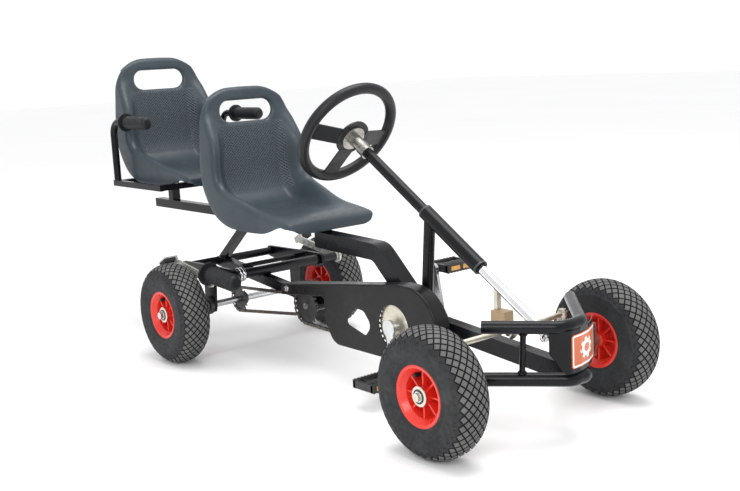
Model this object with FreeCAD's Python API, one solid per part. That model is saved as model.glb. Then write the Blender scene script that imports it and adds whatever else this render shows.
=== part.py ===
import FreeCAD, Part
import math
import os

# Tandem pedal go kart, in millimetres. X points forward, Y to the driver's left, Z up.
# The helper coordinates below have X = 0 at the rear axle; export() moves the kart so that
# its origin is on the floor, under the middle of its overall length.

# ---- driving dimensions -------------------------------------------------------------------
WHEELBASE = 990.0
TRACK_FRONT = 520.0
TRACK_REAR = 505.0
TYRE_RADIUS = 130.0
TYRE_WIDTH = 85.0
CONTACT_PRESS = 0.5
RIM_RADIUS = 63.0
RIM_HALF_WIDTH = 35.0
BEAD_RADIUS = 51.0
AXLE_RADIUS = 9.0
STUB_RADIUS = 8.0
RUNNING = 0.05
GAP = 0.5

REAR_END_X = -500.0
NOSE_X = 1152.0
MIDDLE_X = (REAR_END_X + NOSE_X) / 2.0

CRANK_X, CRANK_Z = 660.0, 163.0
CRANK_LENGTH = 109.0
CRANK_TILT = 10.0
PEDAL_Y = 135.0
JACK_X, JACK_Z = 322.0, 160.0
CHAIN_PITCH = 12.7
FRONT_CHAIN_Y = -60.0
REAR_CHAIN_Y = -50.0
CHAINRING_TEETH = 28
JACK_DRIVEN_TEETH = 22
JACK_DRIVER_TEETH = 12
AXLE_TEETH = 16

COLUMN_ANGLE = 32.8
COLUMN_TOP = (498.0, 555.0)
SHAFT_RADIUS = 11.0
SLEEVE_RADIUS = 17.0
SLEEVE_START, SLEEVE_END = 252.0, 442.0
PITMAN_AT = 568.0
PITMAN_LENGTH = 60.0
SHAFT_END = 665.0
STEERING_WHEEL_RADIUS = 136.0
STEERING_WHEEL_GRIP = 13.0
STEERING_WHEEL_CENTRE = -59.0

KINGPIN_Y = 190.0
KNUCKLE_ARM = 60.0
TIE_ROD_Z = 186.0

SEAT_STEP_X, SEAT_STEP_Z = 458.0, 88.0
SEAT_HALF_WIDTH = 150.0
SEAT_WALL = 4.0

BEAM_WIDTH, BEAM_HEIGHT = 30.0, 36.0
BEAM_REAR = (664.0, 177.0)
BEAM_FRONT = (1124.0, 133.2)
SEAT_BEAM_SIZE = 25.0
SEAT_BEAM_Z = 354.5
SEAT_TUBE_SIZE = 40.0
TUBE_WALL = 2.0

GUARD_OUTER_Y = -68.0
GUARD_DEPTH = 40.0
GUARD_WALL = 2.5

BRAKE_X, BRAKE_Z = 112.0, 222.0
BRAKE_RADIUS = 13.0
HANGER_Y = 140.0
HANGER_THICK = 8.0


# ---- small geometry helpers ---------------------------------------------------------------
def vec(x, y, z):
    return FreeCAD.Vector(x, y, z)


def box(x0, x1, y0, y1, z0, z1):
    return Part.makeBox(x1 - x0, y1 - y0, z1 - z0, vec(x0, y0, z0))


def rod(start, end, radius):
    start, end = FreeCAD.Vector(start), FreeCAD.Vector(end)
    return Part.makeCylinder(radius, start.distanceToPoint(end), start, end - start)


def pipe(start, end, radius, bore):
    return rod(start, end, radius).cut(rod(start, end, bore))


def across(x, z, y0, y1, radius, bore=0.0):
    """A cylinder or ring along Y, from y0 to y1."""
    solid = rod((x, y0, z), (x, y1, z), radius)
    return solid.cut(rod((x, y0, z), (x, y1, z), bore)) if bore else solid


def mirrored(shape):
    return shape.mirror(vec(0, 0, 0), vec(0, 1, 0))


def corner_edges(before, corner, after, radius):
    """The two tangent points and the arc that rounds one corner of a path."""
    back = (before - corner).normalize()
    ahead = (after - corner).normalize()
    half = back.getAngle(ahead) / 2.0
    setback = radius / math.tan(half)
    first = corner + back * setback
    last = corner + ahead * setback
    centre = corner + (back + ahead).normalize() * (radius / math.sin(half))
    middle = centre + (corner - centre).normalize() * radius
    return first, last, Part.Arc(first, middle, last).toShape()


def path_wire(points, radius):
    """Straight runs joined by tangent arcs of one radius."""
    points = [FreeCAD.Vector(point) for point in points]
    edges = []
    at = points[0]
    for before, corner, after in zip(points, points[1:], points[2:]):
        first, last, arc = corner_edges(before, corner, after, radius)
        edges.append(Part.makeLine(at, first))
        edges.append(arc)
        at = last
    edges.append(Part.makeLine(at, points[-1]))
    return Part.Wire(edges)


def swept_rod(points, bend, radius):
    spine = path_wire(points, bend)
    start = FreeCAD.Vector(points[0])
    ahead = FreeCAD.Vector(points[1]) - start
    circle = Part.Wire([Part.makeCircle(radius, start, ahead)])
    return spine.makePipeShell([circle], True, False)


def swept_pipe(points, bend, radius, wall=TUBE_WALL):
    return swept_rod(points, bend, radius).cut(swept_rod(points, bend, radius - wall))


def loop_face(corners):
    """A face in the plane y = 0 from (x, z, radius) corners, each rounded by its radius."""
    points = [vec(x, 0, z) for x, z, _ in corners]
    count = len(points)
    edges = []
    ends = []
    for index, (_, _, radius) in enumerate(corners):
        before, after = points[index - 1], points[(index + 1) % count]
        if radius:
            first, last, arc = corner_edges(before, points[index], after, radius)
            ends.append((first, last))
            edges.append((index, arc))
        else:
            ends.append((points[index], points[index]))
    lines = [Part.makeLine(ends[i][1], ends[(i + 1) % count][0]) for i in range(count)]
    ordered = []
    arcs = dict(edges)
    for index in range(count):
        if index in arcs:
            ordered.append(arcs[index])
        ordered.append(lines[index])
    return Part.Face(Part.Wire(ordered))


def plate(corners, y0, y1):
    face = loop_face(corners)
    face.translate(vec(0, y0, 0))
    return face.extrude(vec(0, y1 - y0, 0))


def box_tube(start, end, width, height, wall=TUBE_WALL, y=0.0):
    """A rectangular tube in the XZ plane between two (x, z) points, cut square at its ends."""
    length = math.hypot(end[0] - start[0], end[1] - start[1])
    solid = box(0, length, -width / 2, width / 2, -height / 2, height / 2)
    if wall:
        solid = solid.cut(box(0, length, wall - width / 2, width / 2 - wall, wall - height / 2, height / 2 - wall))
    solid.rotate(vec(0, 0, 0), vec(0, -1, 0), math.degrees(math.atan2(end[1] - start[1], end[0] - start[0])))
    solid.translate(vec(start[0], y, start[1]))
    return solid


def on_column(distance, side=0.0, drop=0.0):
    """A point at a distance down the steering column; drop is square to it, down and back."""
    angle = math.radians(COLUMN_ANGLE)
    x = COLUMN_TOP[0] + distance * math.cos(angle) - drop * math.sin(angle)
    z = COLUMN_TOP[1] - distance * math.sin(angle) - drop * math.cos(angle)
    return vec(x, side, z)


def to_column(shape):
    """Moves a shape modelled with -Z as the distance down the column, +X up and forward."""
    shape.rotate(vec(0, 0, 0), vec(0, 1, 0), COLUMN_ANGLE - 90.0)
    shape.translate(on_column(0.0))
    return shape


def round_column(start, end, radius, bore=0.0):
    """A cylinder or ring round the column axis, between two distances down it."""
    solid = rod((0, 0, -end), (0, 0, -start), radius)
    return solid.cut(rod((0, 0, -end), (0, 0, -start), bore)) if bore else solid


def spun(profile, x, y, z):
    """A solid of revolution about a Y axis, from (radius, y) corners."""
    points = [vec(radius, along, 0) for radius, along in profile]
    face = Part.Face(Part.makePolygon(points + points[:1]))
    solid = face.revolve(vec(0, 0, 0), vec(0, 1, 0), 360.0)
    solid.translate(vec(x, y, z))
    return solid


# ---- wheels -------------------------------------------------------------------------------
def tyre(x, y):
    """Tyre with a smooth crown, pressed flat where it stands on the floor."""
    half = TYRE_WIDTH / 2.0
    flange = RIM_HALF_WIDTH
    outer = [(BEAD_RADIUS, 26.0), (RIM_RADIUS - 4.0, flange - 2.5), (RIM_RADIUS, flange - 1.0),
             (RIM_RADIUS + 2.0, flange + 2.0), (80.0, half - 1.0), (94.0, half), (108.0, half - 2.0),
             (119.0, half - 9.0), (126.0, half - 19.0), (TYRE_RADIUS - 0.1, 11.0)]
    inner = [(122.5, 0.0), (119.0, 20.0), (110.0, 31.0), (94.0, 35.0), (80.0, 34.0), (68.0, 29.0),
             (BEAD_RADIUS + 4.0, 20.0), (BEAD_RADIUS, 19.0)]
    top = [(TYRE_RADIUS + CONTACT_PRESS, 0.0)]
    left = outer + top + [(r, -w) for r, w in reversed(outer)]
    right = [(r, -w) for r, w in reversed(inner)] + inner[1:]
    below = box(x - 200, x + 200, y - 100, y + 100, -20.0, 0.0)
    return spun(left + right, x, y, TYRE_RADIUS).cut(below)


def rim(x, y, side, bore):
    """Moulded rim: a flanged barrel, a dished web with ribs on its outer face, and a hub."""
    w = RIM_HALF_WIDTH
    barrel = [(BEAD_RADIUS, 26.0), (RIM_RADIUS - 4.0, w - 2.5), (RIM_RADIUS, w - 1.0), (RIM_RADIUS, w),
              (RIM_RADIUS - 3.0, w + 1.5), (RIM_RADIUS - 8.0, w), (46.0, 24.0), (43.0, 8.0), (43.0, -8.0),
              (46.0, -24.0), (RIM_RADIUS - 8.0, -w), (RIM_RADIUS - 3.0, -w - 1.5), (RIM_RADIUS, -w),
              (RIM_RADIUS, 1.0 - w), (RIM_RADIUS - 4.0, 2.5 - w), (BEAD_RADIUS, -26.0)]
    hub = across(0, 0, -30.0, 30.0, 17.0)
    web = across(0, 0, -4.0, 4.0, 44.0)
    solid = spun(barrel, 0, 0, 0).fuse([hub, web])
    rib_count = 8
    for number in range(rib_count):
        rib = box(14.0, 46.0, 0.0, 22.0, -1.8, 1.8)
        rib = rib.fuse(box(14.0, 46.0, -22.0, 0.0, -1.8, 1.8))
        rib.rotate(vec(0, 0, 0), vec(0, 1, 0), number * 360.0 / rib_count)
        solid = solid.fuse(rib)
    solid = solid.cut(across(0, 0, -60.0, 60.0, bore))
    if side > 0:
        solid = mirrored(solid)
    solid.translate(vec(x, y, TYRE_RADIUS))
    return solid.removeSplitter()


def hex_nut(x, z, y0, y1, flats, bore):
    corners = [(x + flats / math.sqrt(3.0) * math.cos(math.radians(60.0 * i)),
                z + flats / math.sqrt(3.0) * math.sin(math.radians(60.0 * i)), 0.0) for i in range(6)]
    solid = plate(corners, min(y0, y1), max(y0, y1))
    return solid.cut(across(x, z, min(y0, y1), max(y0, y1), bore)) if bore else solid


# ---- sprockets and chains -----------------------------------------------------------------
def pitch_radius(teeth):
    return CHAIN_PITCH / 2.0 / math.sin(math.pi / teeth)


def sprocket(x, z, y, teeth, bore, hub_radius=0.0, hub_length=0.0):
    """A toothed disc 3 mm thick, with an optional boss on its inner side."""
    root = pitch_radius(teeth) - 4.2
    tip = pitch_radius(teeth) + 3.6
    step = 360.0 / teeth
    corners = []
    for number in range(teeth):
        for part, radius in ((-0.30, root), (-0.10, tip), (0.10, tip), (0.30, root)):
            angle = math.radians((number + part) * step)
            corners.append((x + radius * math.cos(angle), z + radius * math.sin(angle), 0.0))
    disc = plate(corners, y - 1.5, y + 1.5)
    if hub_length:
        disc = disc.fuse(across(x, z, y + 1.5, y + 1.5 + hub_length, hub_radius))
    return disc.cut(across(x, z, y - 40.0, y + 60.0, bore))


def chain_loop(first, first_radius, second, second_radius, y):
    """A chain as two side-plate bands that run beside the teeth of both sprockets."""
    dx, dz = second[0] - first[0], second[1] - first[1]
    span = math.hypot(dx, dz)
    lean = math.atan2(dz, dx)
    tuck = math.acos((first_radius - second_radius) / span)

    def rim_point(centre, radius, angle):
        return vec(centre[0] + radius * math.cos(angle), 0, centre[1] + radius * math.sin(angle))

    def band(grow):
        r1, r2 = first_radius + grow, second_radius + grow
        a, b = rim_point(first, r1, lean + tuck), rim_point(second, r2, lean + tuck)
        c, d = rim_point(second, r2, lean - tuck), rim_point(first, r1, lean - tuck)
        far = rim_point(second, r2, lean)
        near = rim_point(first, r1, lean + math.pi)
        edges = [Part.makeLine(a, b), Part.Arc(b, far, c).toShape(), Part.makeLine(c, d), Part.Arc(d, near, a).toShape()]
        return Part.Face(Part.Wire(edges))

    ring = band(4.0).cut(band(-4.0))
    sides = []
    for low in (-4.6, 2.2):
        side = ring.copy()
        side.translate(vec(0, y + low, 0))
        sides.append(side.extrude(vec(0, 2.4, 0)))
    return Part.makeCompound(sides)


# ---- seat ---------------------------------------------------------------------------------
SEAT_SPINE = [(-10.0, 682.0), (-4.0, 696.0), (8.0, 702.0), (18.0, 693.0), (22.0, 672.0), (24.0, 610.0),
              (27.0, 520.0), (38.0, 446.0), (76.0, 402.0), (140.0, 386.0), (250.0, 382.0), (356.0, 381.0),
              (372.0, 374.0), (377.0, 350.0)]
SEAT_TOP_CORNER, SEAT_LIP_CORNER = 72.0, 50.0
SEAT_CORNER_BEND = 0.38
SEAT_HOLE = [(-84.0, 674.0, 30.0), (84.0, 674.0, 30.0), (76.0, 606.0, 20.0), (-76.0, 606.0, 20.0)]


def smooth_step(value, low, high):
    t = min(max((value - low) / (high - low), 0.0), 1.0)
    return t * t * (3.0 - 2.0 * t)


def round_corner(across, along):
    """Bends the square corner of a sheet nearly into a quarter circle; both run 0 to 1 inside it."""
    if across <= 0.0 or along <= 0.0:
        return across, along
    return (across * math.sqrt(1.0 - SEAT_CORNER_BEND * along * along),
            along * math.sqrt(1.0 - SEAT_CORNER_BEND * across * across))


def seat_point(curve, a, b):
    """A point of the seat's upper face: a runs across, -1 to 1, and b from the top to the lip."""
    length = curve.length()
    t = (b + 1.0) / 2.0
    width = 132.0 + 19.0 * smooth_step(t, 0.05, 0.36) - 13.0 * smooth_step(t, 0.5, 0.8)
    corner = SEAT_TOP_CORNER if b < 0.0 else SEAT_LIP_CORNER
    out = (abs(a) * width - width + corner) / corner
    along = ((abs(b) - 1.0) * length / 2.0 + corner) / corner
    out, along = round_corner(out, along)
    across = math.copysign(width - corner + corner * out, a)
    half_run = math.copysign(length / 2.0 - corner + corner * along, b)
    at = curve.parameterAtDistance(length / 2.0 + half_run, curve.FirstParameter)
    ahead = curve.tangent(at)[0]
    normal = vec(-ahead.z, 0, ahead.x)
    bolster = 52.0 * smooth_step(t, 0.07, 0.28) * (1.0 - smooth_step(t, 0.50, 0.93))
    edge = 26.0 - 14.0 * smooth_step(t, 0.05, 0.25) + 24.0 * smooth_step(t, 0.42, 0.62)
    raised = bolster * smooth_step(abs(a), 0.54, 0.90)
    dropped = (bolster + edge) * smooth_step(abs(a), 0.90, 1.0)
    return curve.value(at) + normal * (raised - dropped) + vec(0, across, 0)


def seat_shell():
    """Thin moulded bucket: a smooth upper face, its offset, and strips that close the edges."""
    curve = Part.BSplineCurve()
    curve.interpolate([vec(x, 0, z) for x, z in SEAT_SPINE])
    rows, columns = 25, 17
    step = 0.004
    upper, lower = [], []
    for i in range(rows):
        s = -1.0 + 2.0 * i / (rows - 1)
        b = 0.5 * s + 0.5 * math.sin(math.pi / 2.0 * s)
        upper.append([])
        lower.append([])
        for j in range(columns):
            a = math.sin(math.pi / 2.0 * (-1.0 + 2.0 * j / (columns - 1)))
            point = seat_point(curve, a, b)
            along = seat_point(curve, min(a + step, 1.0), b) - seat_point(curve, max(a - step, -1.0), b)
            down = seat_point(curve, a, min(b + step, 1.0)) - seat_point(curve, a, max(b - step, -1.0))
            upper[-1].append(point)
            lower[-1].append(point + along.cross(down).normalize() * SEAT_WALL)
    surfaces = []
    for grid in (upper, lower):
        surface = Part.BSplineSurface()
        surface.interpolate(grid)
        surfaces.append(surface)
    u0, u1, v0, v1 = surfaces[0].bounds()
    faces = [surface.toShape() for surface in surfaces]
    for at in (u0, u1):
        faces.append(Part.makeRuledSurface(*[surface.uIso(at).toShape() for surface in surfaces]))
    for at in (v0, v1):
        faces.append(Part.makeRuledSurface(*[surface.vIso(at).toShape() for surface in surfaces]))
    shell = Part.Shell(faces)
    shell.sewShape()
    solid = Part.Solid(shell)
    if solid.Volume < 0:
        solid.reverse()
    return solid


def seat():
    """The bucket with a hand hole through the top of its back, at the front seat's place."""
    opening = plate(SEAT_HOLE, -60.0, 120.0)
    opening.rotate(vec(0, 0, 0), vec(0, 0, 1), -90.0)
    return seat_shell().cut(opening)


def rear_seat():
    """The same bucket one step back and up, notched where the carrier's cross tubes pass."""
    solid = seat()
    solid.translate(vec(-SEAT_STEP_X, 0, SEAT_STEP_Z))
    reach = CARRIER_SIZE / 2.0 + 1.5
    notches = [box(x - reach, x + reach, -200, 200, CARRIER_Z - 30.0, CARRIER_Z + reach) for x in CARRIER_X]
    return solid.cut(notches)


# ---- frame --------------------------------------------------------------------------------
SEAT_TUBE_LOW, SEAT_TUBE_BEND, SEAT_TUBE_REAR = (694.0, 176.0), (548.0, 314.0), (318.0, 322.0)
SEAT_TUBE_BEND_RADIUS = 40.0
SPINE_Y = -32.0
SPINE_REAR, SPINE_FRONT, SPINE_RISE = (-113.0, 222.0), (322.0, 172.0), (606.0, 232.0)
CROSS_RADIUS = 11.0
BRACE_X, BRACE_Z, BRACE_RADIUS = 15.0, 221.0, 6.5
SHELL_RADIUS, SHELL_LENGTH = 23.0, 68.0
HOUSING_RADIUS = 17.0
HOUSING_Y0, HOUSING_Y1 = -46.0, -4.0
JACKSHAFT_RADIUS = 8.0
BEARING_SEAT = 15.0
POST_FOOT, POST_HEAD, POST_RADIUS = (698.0, 180.0), (722.0, 416.0), 13.0
CARRIER_SIZE, CARRIER_Z = 16.0, 438.0
CARRIER_X = (-404.0, -158.0)
RAIL_Y, RAIL_SIZE = 180.0, 12.0


def beam_block():
    return box_tube(BEAM_REAR, BEAM_FRONT, BEAM_WIDTH, BEAM_HEIGHT, wall=0.0)


def shell_block():
    return across(CRANK_X, CRANK_Z, -SHELL_LENGTH / 2, SHELL_LENGTH / 2, SHELL_RADIUS)


def main_beam():
    beam = box_tube(BEAM_REAR, BEAM_FRONT, BEAM_WIDTH, BEAM_HEIGHT)
    return beam.cut([shell_block(), bumper_rod(LOWER_BUMPER, LOWER_BEND, LOWER_RADIUS)])


def strip(half, y_half):
    """A bent solid bar along the seat tube's centre line."""
    low, bend, rear = SEAT_TUBE_LOW, SEAT_TUBE_BEND, SEAT_TUBE_REAR
    first = math.atan2(bend[1] - low[1], bend[0] - low[0])
    second = math.atan2(rear[1] - bend[1], rear[0] - bend[0])
    middle = (first + second) / 2.0
    mitre = half / math.cos((second - first) / 2.0)

    def beside(point, angle, distance, radius):
        return (point[0] - distance * math.sin(angle), point[1] + distance * math.cos(angle), radius)

    corners = [beside(low, first, half, 0.0), beside(bend, middle, mitre, SEAT_TUBE_BEND_RADIUS - half),
               beside(rear, second, half, 0.0), beside(rear, second, -half, 0.0),
               beside(bend, middle, -mitre, SEAT_TUBE_BEND_RADIUS + half), beside(low, first, -half, 0.0)]
    return plate(corners, -y_half, y_half)


def seat_tube():
    """Square tube that rises from the main beam and runs level under the front seat."""
    half = SEAT_TUBE_SIZE / 2.0
    tube = strip(half, half).cut(strip(half - TUBE_WALL, half - TUBE_WALL))
    below = box(SEAT_TUBE_LOW[0] - 40.0, SEAT_TUBE_LOW[0] + 60.0, -half, half, 100.0, BEAM_REAR[1] + 16.0)
    return tube.cut([shell_block(), beam_block(), below])


def seat_beam():
    """Straight square tube that carries both seats, lying on the seat tube's level run."""
    return box_tube((REAR_END_X, SEAT_BEAM_Z), (348.0, SEAT_BEAM_Z), SEAT_BEAM_SIZE, SEAT_BEAM_SIZE)


def spine_block():
    return box_tube(SPINE_REAR, SPINE_FRONT, SEAT_BEAM_SIZE, SEAT_BEAM_SIZE, wall=0.0, y=SPINE_Y)


def seat_supports():
    """Two posts under the rear seat, a strut up from the spine, and the front seat's saddles."""
    half = SEAT_BEAM_SIZE / 2.0
    top = SEAT_BEAM_Z + half
    posts = [box(x - half, x + half, -half, half, top, CARRIER_Z - CARRIER_SIZE / 2) for x in CARRIER_X]
    strut = box_tube((-128.0, 214.0), (66.0, 373.0), 20.0, 20.0, y=-22.5)
    above = box(-300, 300, -80, 80, SEAT_BEAM_Z + half, 500)
    cross = across(SPINE_REAR[0], SPINE_REAR[1], -300, 300, CROSS_RADIUS)
    strut = strut.cut([box(-300, 300, -80, 80, 0, 225.0), above, spine_block(), beam_side_block(), cross])
    saddles = [box(x - 15.0, x + 15.0, -30.0, 30.0, top, top + 9.0) for x in (150.0, 300.0)]
    return Part.makeCompound(posts + [strut] + saddles)


def beam_side_block():
    return box_tube((REAR_END_X, SEAT_BEAM_Z), (348.0, SEAT_BEAM_Z), SEAT_BEAM_SIZE, SEAT_BEAM_SIZE, wall=0.0)


def rear_spine():
    """Lower tube from the rear cross tube to the jackshaft housing, and on up to the seat tube."""
    rear = box_tube(SPINE_REAR, SPINE_FRONT, SEAT_BEAM_SIZE, SEAT_BEAM_SIZE, y=SPINE_Y)
    front = box_tube(SPINE_FRONT, SPINE_RISE, SEAT_BEAM_SIZE, SEAT_BEAM_SIZE, y=SPINE_Y)
    cross = across(SPINE_REAR[0], SPINE_REAR[1], -300, 300, CROSS_RADIUS)
    brace = across(BRACE_X, BRACE_Z, -300, 300, BRACE_RADIUS)
    housing = across(JACK_X, JACK_Z, -80, 80, HOUSING_RADIUS)
    half = SEAT_TUBE_SIZE / 2.0
    rear = rear.cut([cross, brace, housing, box(JACK_X, JACK_X + 60, -80, 80, 100, 220)])
    front = front.cut([housing, strip(half, half), box(JACK_X - 60, JACK_X, -80, 80, 100, 220)])
    return Part.makeCompound([rear, front])


def rear_cross_tubes():
    """The rear cross tube between the hangers and the thinner brace that sits on the spine."""
    end = HANGER_Y - HANGER_THICK / 2.0
    cross = across(SPINE_REAR[0], SPINE_REAR[1], -end, end, CROSS_RADIUS, CROSS_RADIUS - TUBE_WALL)
    brace = across(BRACE_X, BRACE_Z, SPINE_Y - 15.0, end, BRACE_RADIUS)
    return Part.makeCompound([cross, brace])


def axle_hanger():
    """Plate that drops from the cross tube to the axle bearing and carries the brake shaft."""
    corners = [(-128.0, 208.0, 8.0), (-128.0, 236.0, 8.0), (60.0, 240.0, 20.0), (BRAKE_X + 22.0, 240.0, 16.0),
               (BRAKE_X + 22.0, 202.0, 16.0), (BRAKE_X - 22.0, 202.0, 16.0), (30.0, 196.0, 14.0),
               (22.0, 112.0, 12.0), (-22.0, 112.0, 12.0), (-22.0, 190.0, 14.0)]
    y0 = HANGER_Y - HANGER_THICK / 2.0
    solid = plate(corners, y0, y0 + HANGER_THICK)
    return solid.cut([across(0, TYRE_RADIUS, 0, 300, BEARING_SEAT),
                      across(BRAKE_X, BRAKE_Z, 0, 300, BRAKE_RADIUS + 0.3)])


def axle_bearing():
    """Flanged plain bearing pressed in the hanger, with the axle running in its bore."""
    y0 = HANGER_Y - HANGER_THICK / 2.0
    body = across(0, TYRE_RADIUS, y0 - 6.0, y0 + HANGER_THICK + 8.0, BEARING_SEAT)
    flange = across(0, TYRE_RADIUS, y0 + HANGER_THICK, y0 + HANGER_THICK + 8.0, 24.0)
    return body.fuse(flange).cut(across(0, TYRE_RADIUS, 0, 300, AXLE_RADIUS + RUNNING))


def both_sides(shape):
    return Part.makeCompound([mirrored(shape), shape])


def bottom_bracket():
    """Crank shell with a plain bush at each end."""
    end = SHELL_LENGTH / 2.0
    cavity = across(CRANK_X, CRANK_Z, -end + 12.0, end - 12.0, SHELL_RADIUS - 4.0)
    return shell_block().cut([cavity, across(CRANK_X, CRANK_Z, -end, end, AXLE_RADIUS + RUNNING)])


def jackshaft_housing():
    return across(JACK_X, JACK_Z, HOUSING_Y0, HOUSING_Y1, HOUSING_RADIUS, JACKSHAFT_RADIUS + RUNNING)


def sleeve_block():
    return to_column(round_column(SLEEVE_START, SLEEVE_END, SLEEVE_RADIUS))


def column_post():
    """Tube from the main beam up to the steering sleeve."""
    foot, head = (POST_FOOT[0], 0, POST_FOOT[1]), (POST_HEAD[0], 0, POST_HEAD[1])
    half = SEAT_TUBE_SIZE / 2.0
    return pipe(foot, head, POST_RADIUS, POST_RADIUS - TUBE_WALL).cut([beam_block(), strip(half, half), sleeve_block()])


def column_sleeve():
    return to_column(round_column(SLEEVE_START, SLEEVE_END, SLEEVE_RADIUS, SLEEVE_RADIUS - TUBE_WALL))


def column_bushes():
    """Flanged bushes in both ends of the sleeve, in which the column turns."""
    bore = COLUMN_TUBE_RADIUS + RUNNING
    inside = SLEEVE_RADIUS - TUBE_WALL
    parts = []
    for end, away in ((SLEEVE_START, -1.0), (SLEEVE_END, 1.0)):
        flange_end = end + 4.0 * away
        inner_end = end - 24.0 * away
        body = round_column(min(inner_end, flange_end), max(inner_end, flange_end), inside, bore)
        flange = round_column(min(end, flange_end), max(end, flange_end), SLEEVE_RADIUS, bore)
        parts.append(to_column(body.fuse(flange)))
    return Part.makeCompound(parts)


# ---- front bumper and nose ----------------------------------------------------------------
LOWER_RADIUS, LOWER_BEND = 14.0, 24.0
LOWER_BUMPER = [(990.0, -180.0, 130.0), (1004.0, -138.0, 130.0), (1135.0, -24.0, 130.0),
                (1135.0, 16.0, 130.0), (1004.0, 138.0, 130.0), (990.0, 180.0, 130.0)]
UPPER_RADIUS, UPPER_BEND = 13.0, 40.0
UPPER_BUMPER = [(1016.0, -148.0, 239.0), (1138.0, -50.0, 239.0), (1133.0, 8.0, 239.0), (984.0, 153.0, 239.0)]
BUMPER_STRUTS = [((1062.0, -87.5, 130.0), (1078.0, -98.0, 239.0)), ((1062.0, 84.0, 130.0), (1058.0, 81.0, 239.0))]
STRUT_RADIUS = 6.0
KINGPIN_RADIUS = 6.0
KINGPIN_HOUSING_RADIUS = 15.0
HOUSING_LOW, HOUSING_HIGH = 107.5, 168.5
NOSE_LINE = [(1118.0, -71.0), (1148.2, -49.0), (1145.5, -14.0), (1137.0, 18.0), (1122.0, 48.0), (1108.0, 68.0), (1098.0, 80.0)]
NOSE_BEND = 18.0
PANEL_THICK, PLATE_SHEET = 2.0, 1.5
PANEL_LOW, PANEL_HIGH = 148.0, 233.0
PLATE_OUTLINE = [(43.0, 157.0, 6.0), (43.0, 223.0, 6.0), (-62.0, 223.0, 6.0), (-62.0, 157.0, 6.0)]


def bumper_rod(points, bend, radius):
    return swept_rod(points, bend, radius)


def housing_blocks():
    height = HOUSING_HIGH - HOUSING_LOW
    blocks = [Part.makeCylinder(KINGPIN_HOUSING_RADIUS, height, vec(WHEELBASE, side * KINGPIN_Y, HOUSING_LOW))
              for side in (-1.0, 1.0)]
    return blocks


def bumper_lower():
    return swept_pipe(LOWER_BUMPER, LOWER_BEND, LOWER_RADIUS).cut(housing_blocks())


def bumper_upper():
    """Top rail with closed ends."""
    tube = swept_pipe(UPPER_BUMPER, UPPER_BEND, UPPER_RADIUS)
    caps = []
    for end, next_point in ((UPPER_BUMPER[0], UPPER_BUMPER[1]), (UPPER_BUMPER[-1], UPPER_BUMPER[-2])):
        end, inward = FreeCAD.Vector(end), FreeCAD.Vector(next_point) - FreeCAD.Vector(end)
        caps.append(Part.makeCylinder(UPPER_RADIUS - TUBE_WALL, 5.0, end, inward))
    return tube.fuse(caps)


def bumper_struts():
    """Round bars that tie the two bumper rails together."""
    rails = [bumper_rod(LOWER_BUMPER, LOWER_BEND, LOWER_RADIUS), bumper_rod(UPPER_BUMPER, UPPER_BEND, UPPER_RADIUS)]
    bars = [rod(low, high, STRUT_RADIUS).cut(rails) for low, high in BUMPER_STRUTS]
    return Part.makeCompound([solid for bar in bars for solid in bar.Solids if 150.0 < solid.CenterOfMass.z < 215.0])


def kingpin_housings():
    bores = [Part.makeCylinder(KINGPIN_RADIUS + RUNNING, 120.0, vec(WHEELBASE, side * KINGPIN_Y, 80.0))
             for side in (-1.0, 1.0)]
    return Part.makeCompound([block.cut(bore) for block, bore in zip(housing_blocks(), bores)])


def nose_sheet(offset, thick, low, high):
    """A vertical sheet that follows the nose's plan line, at a distance in front of it."""
    points = [vec(x, y, 0) for x, y in NOSE_LINE]
    ahead = (points[1] - points[0]).normalize()
    outward = vec(ahead.y, -ahead.x, 0)
    corners = [points[0] + outward * distance + vec(0, 0, z)
               for distance, z in ((offset, low), (offset + thick, low), (offset + thick, high), (offset, high))]
    profile = Part.makePolygon(corners + corners[:1])
    return path_wire(points, NOSE_BEND).makePipeShell([profile], True, False)


def nose_panel():
    """Bent sheet round the front of the rails, its right wing tapering upward."""
    fold_y, end_y = NOSE_LINE[1][1] - 4.0, NOSE_LINE[0][1] - 10.0
    taper = [vec(1000, fold_y, PANEL_LOW - 1.0), vec(1000, fold_y, PANEL_LOW), vec(1000, end_y, PANEL_LOW + 62.0),
             vec(1000, end_y, PANEL_LOW - 1.0)]
    under_wing = Part.Face(Part.makePolygon(taper + taper[:1])).extrude(vec(200, 0, 0))
    rail = bumper_rod(UPPER_BUMPER, UPPER_BEND, UPPER_RADIUS)
    return nose_sheet(0.0, PANEL_THICK, PANEL_LOW, PANEL_HIGH).cut([under_wing, rail])


def nose_plate():
    """Number plate with rounded corners, curved with the panel."""
    outline = plate(PLATE_OUTLINE, 1050.0, 1200.0)
    outline.rotate(vec(0, 0, 0), vec(0, 0, 1), -90.0)
    return nose_sheet(PANEL_THICK, PLATE_SHEET, 100.0, 260.0).common(outline)


# ---- rear seat carrier and arms -----------------------------------------------------------
ARM_Y, ARM_RADIUS, ARM_BEND = 182.0, 10.0, 36.0
ARM_X, ARM_TOP_Z = -396.0, 613.0
GRIP_START, GRIP_END, GRIP_RADIUS, GRIP_FLANGE = -320.0, -190.0, 16.5, 25.0


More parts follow.
